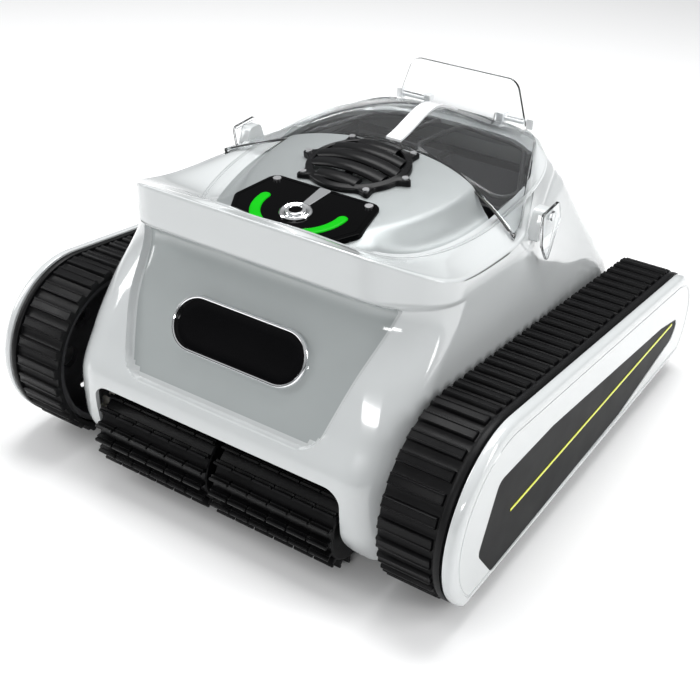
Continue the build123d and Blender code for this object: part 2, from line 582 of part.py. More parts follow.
# ---------------------------------------------------------------- filter basket and inlet
basket = block(-100, 100, 180, 276, 64, 204) - block(-96, 96, 184, 272, 68, 205)
basket = basket + block(-2.5, 2.5, 183, 273, 98, 200)
for side in (-1, 1):
    for z0 in (104, 152):
        basket = basket - block(min(side * 12, side * 90), max(side * 12, side * 90), 170, 290, z0, z0 + 40)
    basket = basket - block(min(side * 92, side * 110), max(side * 92, side * 110), 194, 262, 104, 190)
    basket = basket - block(min(side * 8, side * 86), max(side * 8, side * 86), 192, 214, 60, 70)
keep("filter_basket", basket)
mesh = block(-94.5, -4, 185.5, 270.5, 98, 198) - block(-93.7, -4.8, 186.3, 269.7, 90, 200)
group("basket_mesh", both_sides(mesh))
throat = block(-92, 92, 186, 220, 18, 63.5) - block(-88, 88, 190, 216, 10, 70)
keep("inlet_throat", throat)
flap = block(-85, 85, 193, 213.5, 70.5, 72) + rod_x(2, -85, 85, 214, 72.5)
keep("inlet_flap", flap)

port = Pos(0, FRONT + 366, 100) * Rot(90, 0, 0) * (Cylinder(13.9, 16) - Pos(0, 0, -4) * Cylinder(9, 14))
keep("charge_port", port)

# ---------------------------------------------------------------- files
os.makedirs("parts", exist_ok=True)
for name, solid in nodes.items():
    export_step(solid, "parts/" + name + ".step")
print(len(nodes), "nodes written")
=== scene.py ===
# %% [markdown]
# # Tracked pool cleaner, from frame to finished looks
# The engineering model of the machine is loaded first and stays exactly where it is. Everything
# made below is placed from that model's own boxes, so nothing has to be fitted by eye. Lengths are
# written in millimetres, counted from the front axle, because that is how a workshop would measure
# this machine. One small function turns them into the metres that Blender works in.

# %% Load the frame
import math
import bmesh
import bpy
import numpy as np
from mathutils import Matrix, Vector

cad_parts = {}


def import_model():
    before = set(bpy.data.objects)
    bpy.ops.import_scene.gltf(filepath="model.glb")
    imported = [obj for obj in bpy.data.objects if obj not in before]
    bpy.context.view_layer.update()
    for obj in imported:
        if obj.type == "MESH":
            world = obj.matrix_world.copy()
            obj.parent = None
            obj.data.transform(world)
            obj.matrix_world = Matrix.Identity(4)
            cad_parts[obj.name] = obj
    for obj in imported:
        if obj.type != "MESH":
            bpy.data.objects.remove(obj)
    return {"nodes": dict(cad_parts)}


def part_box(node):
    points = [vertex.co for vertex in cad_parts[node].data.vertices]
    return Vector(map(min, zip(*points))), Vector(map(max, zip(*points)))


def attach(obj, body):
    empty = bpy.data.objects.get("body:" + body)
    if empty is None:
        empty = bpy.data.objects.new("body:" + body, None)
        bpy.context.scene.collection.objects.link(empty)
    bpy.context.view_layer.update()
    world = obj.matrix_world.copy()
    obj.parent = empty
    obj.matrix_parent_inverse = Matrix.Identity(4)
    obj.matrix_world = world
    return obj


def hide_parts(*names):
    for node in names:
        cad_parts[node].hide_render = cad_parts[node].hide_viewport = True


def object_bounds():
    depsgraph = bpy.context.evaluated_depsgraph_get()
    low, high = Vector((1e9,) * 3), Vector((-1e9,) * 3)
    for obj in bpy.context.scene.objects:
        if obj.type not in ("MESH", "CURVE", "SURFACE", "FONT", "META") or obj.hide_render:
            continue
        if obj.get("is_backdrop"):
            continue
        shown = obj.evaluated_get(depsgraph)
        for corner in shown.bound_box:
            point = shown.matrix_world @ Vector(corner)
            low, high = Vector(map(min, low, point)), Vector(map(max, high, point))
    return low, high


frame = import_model()
cad_low, cad_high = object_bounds()

# %% Measure from the axles
MM = 0.001


def centre(node):
    """Middle of a node's box, in metres."""
    low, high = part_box(node)
    return (low + high) / 2


def size(node):
    """Length, depth and height of a node's box, in millimetres."""
    low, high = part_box(node)
    return [side / MM for side in (high - low)]


AXLE_Y = centre("right_front_wheel").y
WHEELBASE = (centre("right_rear_wheel").y - AXLE_Y) / MM
R_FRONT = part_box("right_belt")[1].z / MM / 2
R_REAR = centre("right_rear_wheel").z / MM
COVER_OUT = cad_high.x / MM
print("wheelbase", round(WHEELBASE), "mm, track ends", round(R_FRONT), "and", round(R_REAR), "mm in radius")


def world(point):
    """Millimetres from the front axle and the ground, as metres in the frame."""
    x, y, z = point
    return (x * MM, AXLE_Y + y * MM, z * MM)


# %% [markdown]
# ## Camera and room
# A product picture needs little: a pale floor that runs out of the picture, a pale sky, and a few
# large soft lamps. Large lamps matter here because the machine is glossy. What a glossy surface
# shows is mostly the lamps themselves, so their shapes become the long highlights on the shell.

# %% Camera
CAMERA_PLACE = (0.4495, -0.7412, 0.5820)
AZIMUTH, ELEVATION, ROLL = (math.radians(a) for a in (32.44, 31.59, 2.27))

camera_data = bpy.data.cameras.new("camera")
camera_data.sensor_width = 36.0
camera_data.lens = 59.04
camera = bpy.data.objects.new("camera", camera_data)
bpy.context.scene.collection.objects.link(camera)
back = Vector((math.sin(AZIMUTH) * math.cos(ELEVATION), -math.cos(AZIMUTH) * math.cos(ELEVATION),
               math.sin(ELEVATION)))
across = (-back).cross(Vector((0, 0, 1))).normalized()
upward = across.cross(-back)
tilted_x = across * math.cos(ROLL) + upward * math.sin(ROLL)
tilted_y = upward * math.cos(ROLL) - across * math.sin(ROLL)
facing = Matrix((tilted_x, tilted_y, back)).transposed().to_4x4()
camera.matrix_world = Matrix.Translation(CAMERA_PLACE) @ facing
bpy.context.scene.camera = camera
print("camera", round(math.degrees(ELEVATION)), "degrees above the floor")

# %% Lamps
bpy.context.scene.view_settings.view_transform = "Standard"
MACHINE_MIDDLE = Vector((0, 0, 0.12))


def soft_lamp(name, place, width, height, watts):
    """A rectangular lamp that faces the machine."""
    lamp = bpy.data.lights.new(name, "AREA")
    lamp.shape = "RECTANGLE"
    lamp.size, lamp.size_y = width, height
    lamp.energy = watts
    holder = bpy.data.objects.new(name, lamp)
    holder.location = place
    holder.rotation_euler = (MACHINE_MIDDLE - Vector(place)).to_track_quat("-Z", "Y").to_euler()
    bpy.context.scene.collection.objects.link(holder)


soft_lamp("overhead", (-0.1, 0.35, 1.6), 1.3, 0.8, 24)
soft_lamp("left_window", (-1.5, -0.7, 1.0), 0.5, 1.2, 13)
soft_lamp("right_window", (1.6, 0.3, 0.9), 0.4, 1.3, 13)
soft_lamp("front_strip", (0.5, -1.7, 0.9), 1.0, 0.16, 8)

# %% Sky
sky = bpy.data.worlds.new("sky")
bpy.context.scene.world = sky
sky.use_nodes = True
sky_nodes, sky_links = sky.node_tree.nodes, sky.node_tree.links
sky_place = sky_nodes.new("ShaderNodeTexCoord")
sky_split = sky_nodes.new("ShaderNodeSeparateXYZ")
sky_ramp = sky_nodes.new("ShaderNodeValToRGB")
sky_ramp.color_ramp.elements[0].position = 0.0
sky_ramp.color_ramp.elements[0].color = (0.10, 0.105, 0.11, 1)
sky_ramp.color_ramp.elements[1].position = 0.75
sky_ramp.color_ramp.elements[1].color = (0.98, 0.99, 1.0, 1)
sky_links.new(sky_place.outputs["Generated"], sky_split.inputs[0])
sky_links.new(sky_split.outputs["Z"], sky_ramp.inputs[0])
sky_links.new(sky_ramp.outputs["Color"], sky_nodes["Background"].inputs["Color"])
sky_nodes["Background"].inputs["Strength"].default_value = 0.55
print("the sky brightens from the horizon upwards")

# %% [markdown]
# ## Finishes
# The machine is mostly moulded plastic and rubber. A single flat colour looks like a toy, so every
# finish is built the same way: a broad noise that shifts the colour and the gloss a little from
# place to place, and a fine noise that only bends the light, as moulded or ground grain does. One
# function makes them all, and each real finish is one call with its own numbers.


# %% One recipe for solid finishes
def finish(name, colour, roughness, metallic=0.0, coat=0.0, shift=0.05, cloud=30.0, grain=1500.0,
           depth=0.05, spread=0.05, stretch=(1, 1, 1), shine=0.5):
    """A plastic, rubber or metal with clouded colour, uneven gloss and fine grain."""
    material = bpy.data.materials.new(name)
    material.use_nodes = True
    nodes, links = material.node_tree.nodes, material.node_tree.links
    shader = nodes["Principled BSDF"]
    shader.inputs["Metallic"].default_value = metallic
    shader.inputs["Coat Weight"].default_value = coat
    shader.inputs["Coat Roughness"].default_value = 0.04
    shader.inputs["Specular IOR Level"].default_value = shine
    place = nodes.new("ShaderNodeTexCoord")
    mapping = nodes.new("ShaderNodeMapping")
    mapping.inputs["Scale"].default_value = stretch
    links.new(place.outputs["Object"], mapping.inputs["Vector"])
    clouds = nodes.new("ShaderNodeTexNoise")
    clouds.inputs["Scale"].default_value = cloud
    clouds.inputs["Detail"].default_value = 4.0
    links.new(mapping.outputs["Vector"], clouds.inputs["Vector"])
    blend = nodes.new("ShaderNodeMix")
    blend.data_type = "RGBA"
    blend.inputs[6].default_value = (*[c * (1 - shift) for c in colour], 1)
    blend.inputs[7].default_value = (*[min(1.0, c * (1 + shift)) for c in colour], 1)
    links.new(clouds.outputs["Fac"], blend.inputs[0])
    links.new(blend.outputs[2], shader.inputs["Base Color"])
    gloss = nodes.new("ShaderNodeMapRange")
    gloss.inputs["To Min"].default_value = max(0.01, roughness - spread)
    gloss.inputs["To Max"].default_value = roughness + spread
    links.new(clouds.outputs["Fac"], gloss.inputs["Value"])
    links.new(gloss.outputs["Result"], shader.inputs["Roughness"])
    fine = nodes.new("ShaderNodeTexNoise")
    fine.inputs["Scale"].default_value = grain
    fine.inputs["Detail"].default_value = 2.0
    links.new(mapping.outputs["Vector"], fine.inputs["Vector"])
    bump = nodes.new("ShaderNodeBump")
    bump.inputs["Strength"].default_value = depth
    bump.inputs["Distance"].default_value = 0.0004
    links.new(fine.outputs["Fac"], bump.inputs["Height"])
    links.new(bump.outputs["Normal"], shader.inputs["Normal"])
    return material


# %% The machine's finishes
shell_white = finish("shell_white", (0.565, 0.585, 0.588), 0.12, coat=0.7, shift=0.015, depth=0.01, spread=0.03)
# The scoop's darker grey is painted shade: the recess is the same white moulding as the shell, darkened in its colour
# to look shaded.
scoop_painted_shade = finish("scoop_painted_shade", (0.36, 0.385, 0.385), 0.13, coat=0.6, shift=0.03, depth=0.01, spread=0.04)
deck_silver = finish("deck_silver", (0.34, 0.362, 0.364), 0.36, metallic=0.45, shift=0.05, cloud=14,
                     grain=5200, depth=0.22, spread=0.07)
panel_black = finish("panel_black", (0.001, 0.001, 0.0012), 0.12, shift=0.3, depth=0.01, spread=0.04, shine=0.03)
inset_black = finish("inset_black", (0.002, 0.002, 0.0024), 0.4, shift=0.4, depth=0.05, spread=0.08, shine=0.05)
window_black = finish("window_black", (0.002, 0.002, 0.0024), 0.12, shift=0.3, depth=0.0, spread=0.04, shine=0.12)
grille_black = finish("grille_black", (0.003, 0.003, 0.0035), 0.3, shift=0.3, depth=0.06, spread=0.08, shine=0.15)
bright_trim = finish("bright_trim", (0.88, 0.89, 0.90), 0.09, metallic=1.0, shift=0.03, depth=0.01, spread=0.04)
steel = finish("steel", (0.58, 0.58, 0.59), 0.3, metallic=1.0, grain=2600, depth=0.1, stretch=(1, 1, 8))
bronze = finish("bush_bronze", (0.60, 0.40, 0.20), 0.35, metallic=1.0, grain=2400, depth=0.1)
track_rubber = finish("track_rubber", (0.003, 0.003, 0.0034), 0.4, shift=0.5, cloud=90, grain=2600,
                      depth=0.3, spread=0.12, shine=0.16)
brush_rubber = finish("brush_rubber", (0.003, 0.003, 0.0034), 0.36, shift=0.5, cloud=70, grain=2200,
                      depth=0.2, spread=0.12, shine=0.2)
seal_rubber = finish("seal_rubber", (0.02, 0.02, 0.02), 0.6, shift=0.3, depth=0.2)
wheel_plastic = finish("wheel_plastic", (0.03, 0.03, 0.033), 0.45, shift=0.2, depth=0.2)
gear_nylon = finish("gear_nylon", (0.70, 0.68, 0.61), 0.4, shift=0.05, depth=0.1)
tray_grey = finish("tray_grey", (0.09, 0.095, 0.1), 0.5, shift=0.15, depth=0.25)
box_grey = finish("box_grey", (0.20, 0.21, 0.22), 0.45, shift=0.12, depth=0.25)
motor_can = finish("motor_can", (0.46, 0.46, 0.48), 0.28, metallic=1.0, grain=2000, depth=0.1)
battery_wrap = finish("battery_wrap", (0.03, 0.12, 0.33), 0.25, coat=0.5, shift=0.15)
board_green = finish("board_green", (0.015, 0.16, 0.07), 0.35, coat=0.4, shift=0.25, cloud=160)
stripe_yellow = finish("stripe_yellow", (0.80, 0.83, 0.03), 0.3, coat=0.3, shift=0.04)
rib_white = finish("rib_white", (0.86, 0.87, 0.88), 0.2, coat=0.4, shift=0.03, depth=0.02)
basket_black = finish("basket_black", (0.016, 0.016, 0.018), 0.34, shift=0.3, depth=0.15)
mesh_grey = finish("mesh_grey", (0.10, 0.10, 0.11), 0.7, shift=0.3, cloud=900, grain=4000, depth=0.6)
print("solid finishes:", len(bpy.data.materials))

# %% [markdown]
# Two finishes let light in. The filter lid, the wing and the latches are clear plastic, which is
# mostly transmission with a little haze. The two light guides on the panel are milky green bars lit
# from below, so they get a weak glow of their own.


# %% Clear plastic and light guides
def clear_plastic(name, colour, haze):
    """Clear moulding, very slightly hazed so that it isn't perfect glass."""
    material = finish(name, colour, haze, shift=0.01, cloud=12, depth=0.0, spread=haze * 0.5)
    shader = material.node_tree.nodes["Principled BSDF"]
    shader.inputs["Transmission Weight"].default_value = 1.0
    shader.inputs["IOR"].default_value = 1.42
    return material


clear = clear_plastic("clear", (0.96, 0.975, 0.98), 0.03)
light_green = finish("light_green", (0.001, 0.36, 0.002), 0.3, shift=0.08, shine=0.08)
guide_shader = light_green.node_tree.nodes["Principled BSDF"]
guide_shader.inputs["Emission Color"].default_value = (0.0, 0.6, 0.01, 1)
guide_shader.inputs["Emission Strength"].default_value = 0.1
print("clear and lit finishes ready")

# %% Floor
floor_finish = finish("floor_finish", (0.93, 0.93, 0.93), 0.6, shift=0.0, depth=0.0)
floor_mesh = bpy.data.meshes.new("floor")
floor_mesh.from_pydata([(-40, -40, 0), (40, -40, 0), (40, 40, 0), (-40, 40, 0)], [], [(0, 1, 2, 3)])
floor_mesh.materials.append(floor_finish)
floor = bpy.data.objects.new("floor", floor_mesh)
floor.location.z = -0.0002
bpy.context.scene.collection.objects.link(floor)
floor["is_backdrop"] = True
print("floor laid")

# %% [markdown]
# ## Three tools for making pieces
# Nearly every moulding here is a stack of outlines: the body is a stack of plan outlines, a side
# cover a stack of track outlines, a ring a stack of circles. So one function skins a stack of equal
# outlines, one turns the result into a piece that rides on its body, and one cuts an opening.


# %% Skin, piece and cut
def skin(rows, ring=False, cap_first=False, cap_last=False, closed=True):
    """Vertices and faces of a surface over rows of points; ring joins the last row to the first."""
    count = len(rows[0])
    points = [point for row in rows for point in row]
    faces = []
    for r in range(len(rows) if ring else len(rows) - 1):
        low, high = r * count, (r + 1) % len(rows) * count
        for c in range(count if closed else count - 1):
            d = (c + 1) % count
            faces.append((low + c, low + d, high + d, high + c))
    if cap_first:
        faces.append(tuple(reversed(range(count))))
    if cap_last:
        faces.append(tuple(range((len(rows) - 1) * count, len(rows) * count)))
    return points, faces


def joined(parts):
    """Several (points, faces) pairs as one."""
    points, faces = [], []
    for part_points, part_faces in parts:
        start = len(points)
        points += list(part_points)
        faces += [tuple(i + start for i in face) for face in part_faces]
    return points, faces


def outward(shape):
    """Turn a closed shape inside out if its signed volume is negative."""
    points, faces = shape
    volume = 0.0
    for face in faces:
        first = Vector(points[face[0]])
        for i in range(1, len(face) - 1):
            volume += first.dot(Vector(points[face[i]]).cross(Vector(points[face[i + 1]])))
    return (points, faces) if volume > 0 else (points, [tuple(reversed(face)) for face in faces])


def build(name, shape, materials, crease=32.0, recalc=True):
    """A mesh object from (points, faces), with merged points, outward normals and sharp creases."""
    points, faces = shape
    mesh = bpy.data.meshes.new(name)
    mesh.from_pydata([world(point) for point in points], [], faces)
    work = bmesh.new()
    work.from_mesh(mesh)
    bmesh.ops.remove_doubles(work, verts=work.verts, dist=1e-6)
    bmesh.ops.dissolve_degenerate(work, edges=work.edges, dist=1e-7)
    if recalc:
        bmesh.ops.recalc_face_normals(work, faces=work.faces)
    work.to_mesh(mesh)
    work.free()
    for material in materials:
        mesh.materials.append(material)
    mesh.shade_smooth()
    mesh.set_sharp_from_angle(angle=math.radians(crease))
    made = bpy.data.objects.new(name, mesh)
    bpy.context.scene.collection.objects.link(made)
    return made


def settle(made, body, stands_for=()):
    """Hand a finished piece to the body it rides on, and hide the solids it stands for."""
    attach(made, body)
    if stands_for:
        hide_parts(*stands_for)
    print(made.name, "rides on", body, "with", len(made.data.polygons), "faces")
    return made


def cut_away(made, shape, crease=32.0):
    """Subtract a closed shape from a piece for good."""
    tool = build("tool", shape, [], recalc=False)
    change = made.modifiers.new("cut", "BOOLEAN")
    change.operation = "DIFFERENCE"
    change.solver = "EXACT"
    change.object = tool
    graph = bpy.context.evaluated_depsgraph_get()
    result = bpy.data.meshes.new_from_object(made.evaluated_get(graph))
    made.modifiers.clear()
    made.data = result
    bpy.data.objects.remove(tool)
    result.set_sharp_from_angle(angle=math.radians(crease))


# %% Outlines with rounded corners
def rounded(corners, radii, steps=8):
    """A closed outline through corner points, each rounded with its own radius."""
    outline = []
    total = len(corners)
    for i in range(total):
        here = Vector(corners[i])
        before = (Vector(corners[i - 1]) - here).normalized()
        after = (Vector(corners[(i + 1) % total]) - here).normalized()
        half = math.acos(max(-1.0, min(1.0, before.dot(after)))) / 2
        reach = radii[i] / math.tan(half)
        middle = here + (before + after).normalized() * radii[i] / math.sin(half)
        start, end = here + before * reach - middle, here + after * reach - middle
        sweep = math.pi - 2 * half
        side = 1 if start.cross(end) > 0 else -1
        for k in range(steps + 1):
            turn = side * sweep * k / steps
            c, s = math.cos(turn), math.sin(turn)
            outline.append(middle + Vector((start.x * c - start.y * s, start.x * s + start.y * c)))
    return [(p.x, p.y) for p in outline]


def inward(outline, distance):
    """The closed outline moved inwards along its own normals."""
    points = np.array(outline, float)
    along = np.roll(points, -1, 0) - np.roll(points, 1, 0)
    length = np.hypot(along[:, 0], along[:, 1])
    length[length == 0] = 1.0
    normal = np.stack([-along[:, 1], along[:, 0]], 1) / length[:, None]
    area = np.sum(points[:, 0] * np.roll(points[:, 1], -1) - np.roll(points[:, 0], -1) * points[:, 1])
    return points + normal * distance * (1 if area > 0 else -1)


def ease(t):
    """Smooth step from 0 to 1."""
    t = np.clip(t, 0.0, 1.0)
    return t * t * (3 - 2 * t)


print("outline helpers ready")

# %% [markdown]
# ## Body shell
# The shell is one white moulding: straight flanks, a nose that leans back, an overhanging lip, level
# shoulders and an oval edge round the deck. Each height has its own plan outline, given by a few numbers:
# where the front, the shoulder and the rear are, how wide it is, and how large the corners are. A
# smooth curve runs through those numbers from height to height, and the skin follows.

# %% Numbers that shape the body
# height, front, shoulder, rear, half width, rear half width, corner cut across, corner cut along,
# then the radii at the lip's corner, the cheek, the shoulder and the rear
LEVELS = np.array([
    (18, -45, 200, 374, 144, 136, 14, 14, 24, 24, 120, 30),
    (50, -62, 200, 384, 145, 136, 16, 16, 28, 28, 120, 34),
    (86, -65, 200, 382, 145, 134, 18, 18, 30, 30, 120, 40),
    (120, -50, 190, 366, 145, 126, 20, 20, 34, 34, 120, 50),
    (152, -33, 170, 346, 144, 114, 25, 25, 42, 42, 120, 54),
    (193, -4, 150, 320, 142, 98, 29, 29, 50, 50, 120, 52),
    (201, -3, 147, 315, 142, 94, 30, 29, 48, 50, 118, 51),
    (205, -8, 146, 313, 142, 92, 34, 32, 42, 48, 117, 50),
    (208.5, -14.5, 144, 311, 142, 90, 39, 36, 34, 46, 116, 49),
    (212, -17.4, 143, 310, 142, 89, 41, 38, 31, 45, 114, 49),
    (222, -18, 140, 306, 142, 84, 42, 38, 30, 45, 110, 48),
    (246, -18, 135, 296, 142, 76, 42, 38, 30, 45, 110, 44),
], float)
RIM_TOP, RIM_SLOPE, RIM_START, WAIST = 244.0, 0.0524, 20.0, 193.0
CROWN, CROWN_X = 19.0, 119.0
# the oval edge of the deck: an ellipse in front of its widest place, squarer behind it
OVAL_HALF, OVAL_Y, OVAL_FRONT, OVAL_REAR, OVAL_SQUARE = 119.0, 150.0, 163.5, 143.0, 3.0
OVAL_BASE, OVAL_SLOPE, OVAL_RISE, OVAL_REACH, OVAL_BEND = 202.8, 0.09, 41.4, 41.0, 1.4
# the outer top edge: a low side, a rise to the lip in front and a smaller rise behind
SIDE_LOW, LIP_Y, LIP_RISE, LIP_REACH, LIP_BEND = 209.0, -20.0, 35.0, 43.6, 1.2
REAR_RISE, REAR_START, REAR_RUN = 20.0, 150.0, 140.0
HUB_Y = 120.0
DECK_SLOPE, DECK_Y, DECK_Z = 0.11, 20.0, 222.0
NOSE_LEAN = math.radians(32)
SCOOP_DEPTH, SCOOP_WALL, SCOOP_CORNER = 6.0, 2.6, 14.0


def smooth_value(z, column):
    """One of the body's numbers at any height, along a curve with no overshoot."""
    heights, values = LEVELS[:, 0], LEVELS[:, column]
    steps = np.diff(values) / np.diff(heights)
    slopes = np.zeros(len(values))
    inner = steps[:-1] * steps[1:] > 0
    slopes[1:-1][inner] = 2 / (1 / steps[:-1][inner] + 1 / steps[1:][inner])
    slopes[0], slopes[-1] = steps[0], steps[-1]
    i = int(np.clip(np.searchsorted(heights, z) - 1, 0, len(heights) - 2))
    gap = heights[i + 1] - heights[i]
    t = np.clip((z - heights[i]) / gap, 0, 1)
    a, b = values[i], values[i + 1]
    return ((2 * t**3 - 3 * t**2 + 1) * a + (t**3 - 2 * t**2 + t) * gap * slopes[i]
            + (3 * t**2 - 2 * t**3) * b + (t**3 - t**2) * gap * slopes[i + 1])


def half_plan(z):
    """Right half of the plan outline at a height, from the nose round to the tail."""
    front, shoulder, rear, half, tail, cut_x, cut_y, r_a, r_b, r_s, r_r = [
        smooth_value(z, column) for column in range(1, 12)]
    corners = [(-half, front), (half - cut_x, front), (half, front + cut_y), (half, shoulder),
               (tail, rear), (-tail, rear)]
    outline = rounded(corners, [1, r_a, r_b, r_s, r_r, 1], steps=14)
    points = np.array([p for p in outline[15:75]])
    return np.vstack([[0.0, front], points, [0.0, rear]])


def scoop_half(z):
    """Half width of the shallow scoop in the nose."""
    return 86 + (np.clip(z, 105, 200) - 105) / 88 * 26


def plan_columns(z):
    """The half outline divided so that one column runs exactly along the scoop's edge."""
    points = half_plan(z)
    steps = np.hypot(*np.diff(points, axis=0).T)
    run = np.concatenate([[0], np.cumsum(steps)])
    front_part = points[:, 1] < smooth_value(z, 1) + 70
    edge = np.interp(scoop_half(z), points[front_part, 0], run[front_part])
    wanted = np.concatenate([np.linspace(0, edge, 52), edge + np.array([0.35, 0.7, 1.0]) * SCOOP_WALL,
                             np.linspace(edge + SCOOP_WALL, run[-1], 118)[1:]])
    return np.stack([np.interp(wanted, run, points[:, 0]), np.interp(wanted, run, points[:, 1])], 1)


def full_plan(z):
    half = plan_columns(z)
    return np.vstack([half, (half * (-1, 1))[-2:0:-1]])


def top_edge(y):
    """Height of the shell's outer top edge: high at the lip, low along the sides."""
    past_lip = np.maximum(0, y - LIP_Y) / LIP_REACH
    return SIDE_LOW + LIP_RISE * np.exp(-past_lip**LIP_BEND) + REAR_RISE * ease((y - REAR_START) / REAR_RUN)


def oval_lines(steps=120):
    """Direction, distance and height of points along one half of the oval, seen from the hub."""
    turn = np.linspace(0, math.pi / 2, steps)
    square = 2 / OVAL_SQUARE
    x = OVAL_HALF * np.concatenate([np.sin(turn), np.cos(turn[1:]) ** square])
    y = OVAL_Y + np.concatenate([-OVAL_FRONT * np.cos(turn), OVAL_REAR * np.sin(turn[1:]) ** square])
    past_nose = np.maximum(0, y - (OVAL_Y - OVAL_FRONT)) / OVAL_REACH
    height = OVAL_BASE + OVAL_SLOPE * y + OVAL_RISE * np.exp(-past_nose**OVAL_BEND)
    return np.arctan2(x, HUB_Y - y), np.hypot(x, y - HUB_Y), height


def rim_fall(y, z):
    """Heights above the waist are squeezed so that they end at the outer top edge."""
    share = np.clip((z - WAIST) / (RIM_TOP - WAIST), 0, None)
    return np.where(z > WAIST, WAIST + share * (top_edge(y) - WAIST), z)


def oval_point(x, y, inset):
    """Where the line from the hub to a point crosses the oval, moved inwards."""
    directions, distances, heights = oval_lines()
    direction = np.arctan2(np.abs(x), HUB_Y - y)
    far = np.interp(direction, directions, distances) - inset
    high = np.interp(direction, directions, heights)
    length = np.hypot(x, y - HUB_Y)
    return np.stack([x / length * far, HUB_Y + (y - HUB_Y) / length * far, high], -1)


def deck_edge(x, y, high):
    """Height of the deck where it meets the sloped wall below the oval."""
    crowned = DECK_Z + DECK_SLOPE * (y - DECK_Y) - CROWN * (x / CROWN_X) ** 2
    return np.minimum(crowned, high - 3.0)


def scoop_depth(plan, z):
    """How far each point of the nose is pressed in, from 0 to 1."""
    side = np.abs(plan[:, 0]) - scoop_half(z)
    a, b = side + SCOOP_CORNER, np.full(len(plan), 105.0 - z) + SCOOP_CORNER
    away = np.where((a > 0) & (b > 0), np.hypot(a, b), np.maximum(a, b)) - SCOOP_CORNER
    facing = plan[:, 1] < smooth_value(z, 1) + 75
    return ease(1 - away / SCOOP_WALL) * facing * ease((208 - z) / 10)


print("body is", round(2 * smooth_value(86, 4)), "mm wide above the rollers")


# %% Stack the outlines
def outer_row(z):
    """Outside of the shell at one height, with the scoop pressed in."""
    plan = full_plan(z)
    depth = scoop_depth(plan, z) * SCOOP_DEPTH
    y = plan[:, 1] + depth * math.cos(NOSE_LEAN)
    height = rim_fall(plan[:, 1], np.full(len(plan), float(z))) - depth * math.sin(NOSE_LEAN)
    return np.stack([plan[:, 0], y, height], 1)


def shoulder_row(share, drop):
    """A line of the level shoulder between the outer top edge (share 0) and the oval (share 1)."""
    outer = inward(full_plan(RIM_TOP), 4.0)
    oval = oval_point(outer[:, 0], outer[:, 1], 0.0)
    edge = np.stack([outer[:, 0], outer[:, 1], top_edge(outer[:, 1])], 1)
    row = edge * (1 - share) + oval * share
    row[:, 2] += 1.2 * math.sin(math.pi * share) - drop
    return row


def rim_row(inset, drop):
    """A line of the outer top edge, this far in from the outside and this far below it."""
    plan = inward(full_plan(RIM_TOP), inset)
    return np.stack([plan[:, 0], plan[:, 1], top_edge(plan[:, 1]) - drop], 1)


def oval_row(inset, drop):
    """A line of the double bead that runs round the oval."""
    outer = full_plan(RIM_TOP)
    row = oval_point(outer[:, 0], outer[:, 1], inset)
    row[:, 2] -= drop
    return row


def bowl_row(drop):
    """Foot of the sloped wall that leads from the oval to the edge of the deck."""
    row = oval_row(BOWL, 0.0)
    row[:, 2] = deck_edge(row[:, 0], row[:, 1], row[:, 2]) - drop
    return row


def inner_row(z, inset=3.0):
    plan = inward(full_plan(z), inset)
    return np.stack([plan[:, 0], plan[:, 1], np.full(len(plan), float(z))], 1)


lower_heights = np.concatenate([np.linspace(18, 20.4, 4), np.linspace(24, 102, 27)])
scoop_heights = np.concatenate([np.linspace(103, 108, 8), np.linspace(111, 199, 33)])
lip_heights = np.concatenate([np.linspace(201, 214, 14), np.linspace(217, 240, 7)])
rows = [outer_row(z) for z in np.concatenate([lower_heights, scoop_heights, lip_heights])]
BOWL = 12.0
rows += [rim_row(inset, drop) for inset, drop in ((0, 2.4), (0.5, 1.3), (1.4, 0.5), (2.6, 0.1), (4.0, 0.0))]
rows += [shoulder_row(share, 0.0) for share in np.linspace(0.12, 0.96, 8)]
rows += [oval_row(inset, drop) for inset, drop in
         ((-0.2, 0.1), (0, 1.0), (0.9, 1.0), (1.1, 0.1), (1.5, -0.2), (2.0, 0.1), (2.2, 1.0), (3.1, 1.0),
          (3.4, 0.6),
          (4.6, 1.4), (8.0, 3.0))]
rows += [bowl_row(0.0), bowl_row(4.5)]
WALLS = ((204, 4.5), (192, 10), (170, 10), (150, 10), (120, 10), (86, 3), (50, 3), (30, 3), (18, 3))
rows += [inner_row(z, inset) for z, inset in WALLS]
shell = build("body_shell", skin([list(map(tuple, row)) for row in rows], ring=True), [shell_white, scoop_painted_shade])
print("rows in the shell:", len(rows), "of", len(rows[0]), "points")


# %% Openings in the shell
def prism(outline, axis, start, end):
    """A closed prism of an outline along X, Y or Z."""
    def at(p, depth):
        return {"x": (depth, p[0], p[1]), "y": (p[0], depth, p[1]), "z": (p[0], p[1], depth)}[axis]
    return skin([[at(p, start) for p in outline], [at(p, end) for p in outline]], cap_first=True, cap_last=True)


def circle(radius, across, up, count=40):
    return [(across + radius * math.cos(2 * math.pi * k / count), up + radius * math.sin(2 * math.pi * k / count))
            for k in range(count)]


mouth = rounded([(-138, 5), (-130, 19), (-115, 30), (-115, 86), (115, 86), (115, 30), (130, 19), (138, 5)],
                [1, 4, 12, 13, 13, 12, 4, 1], steps=8)
openings = [prism(mouth, "y", -100, -12)]
for side in (-1, 1):
    for y, z, radius in ((0, R_FRONT, 9.2), (WHEELBASE, R_REAR, 5.2), (WHEELBASE / 2, 28.5, 4.2)):
        openings.append(prism(circle(radius, y, z), "x", side * 120, side * 160))
openings.append(prism(circle(14.0, 0, 100), "y", 340, 400))

SLOT_SPAN = 78.0


def slot_outline(radius, count=24):
    """Stadium outline: two half circles joined by straights."""
    points = []
    for end, start in ((1, -90), (-1, 90)):
        for k in range(count + 1):
            turn = math.radians(start + 180 * k / count)
            points.append((end * SLOT_SPAN / 2 + radius * math.cos(turn), radius * math.sin(turn)))
    return points


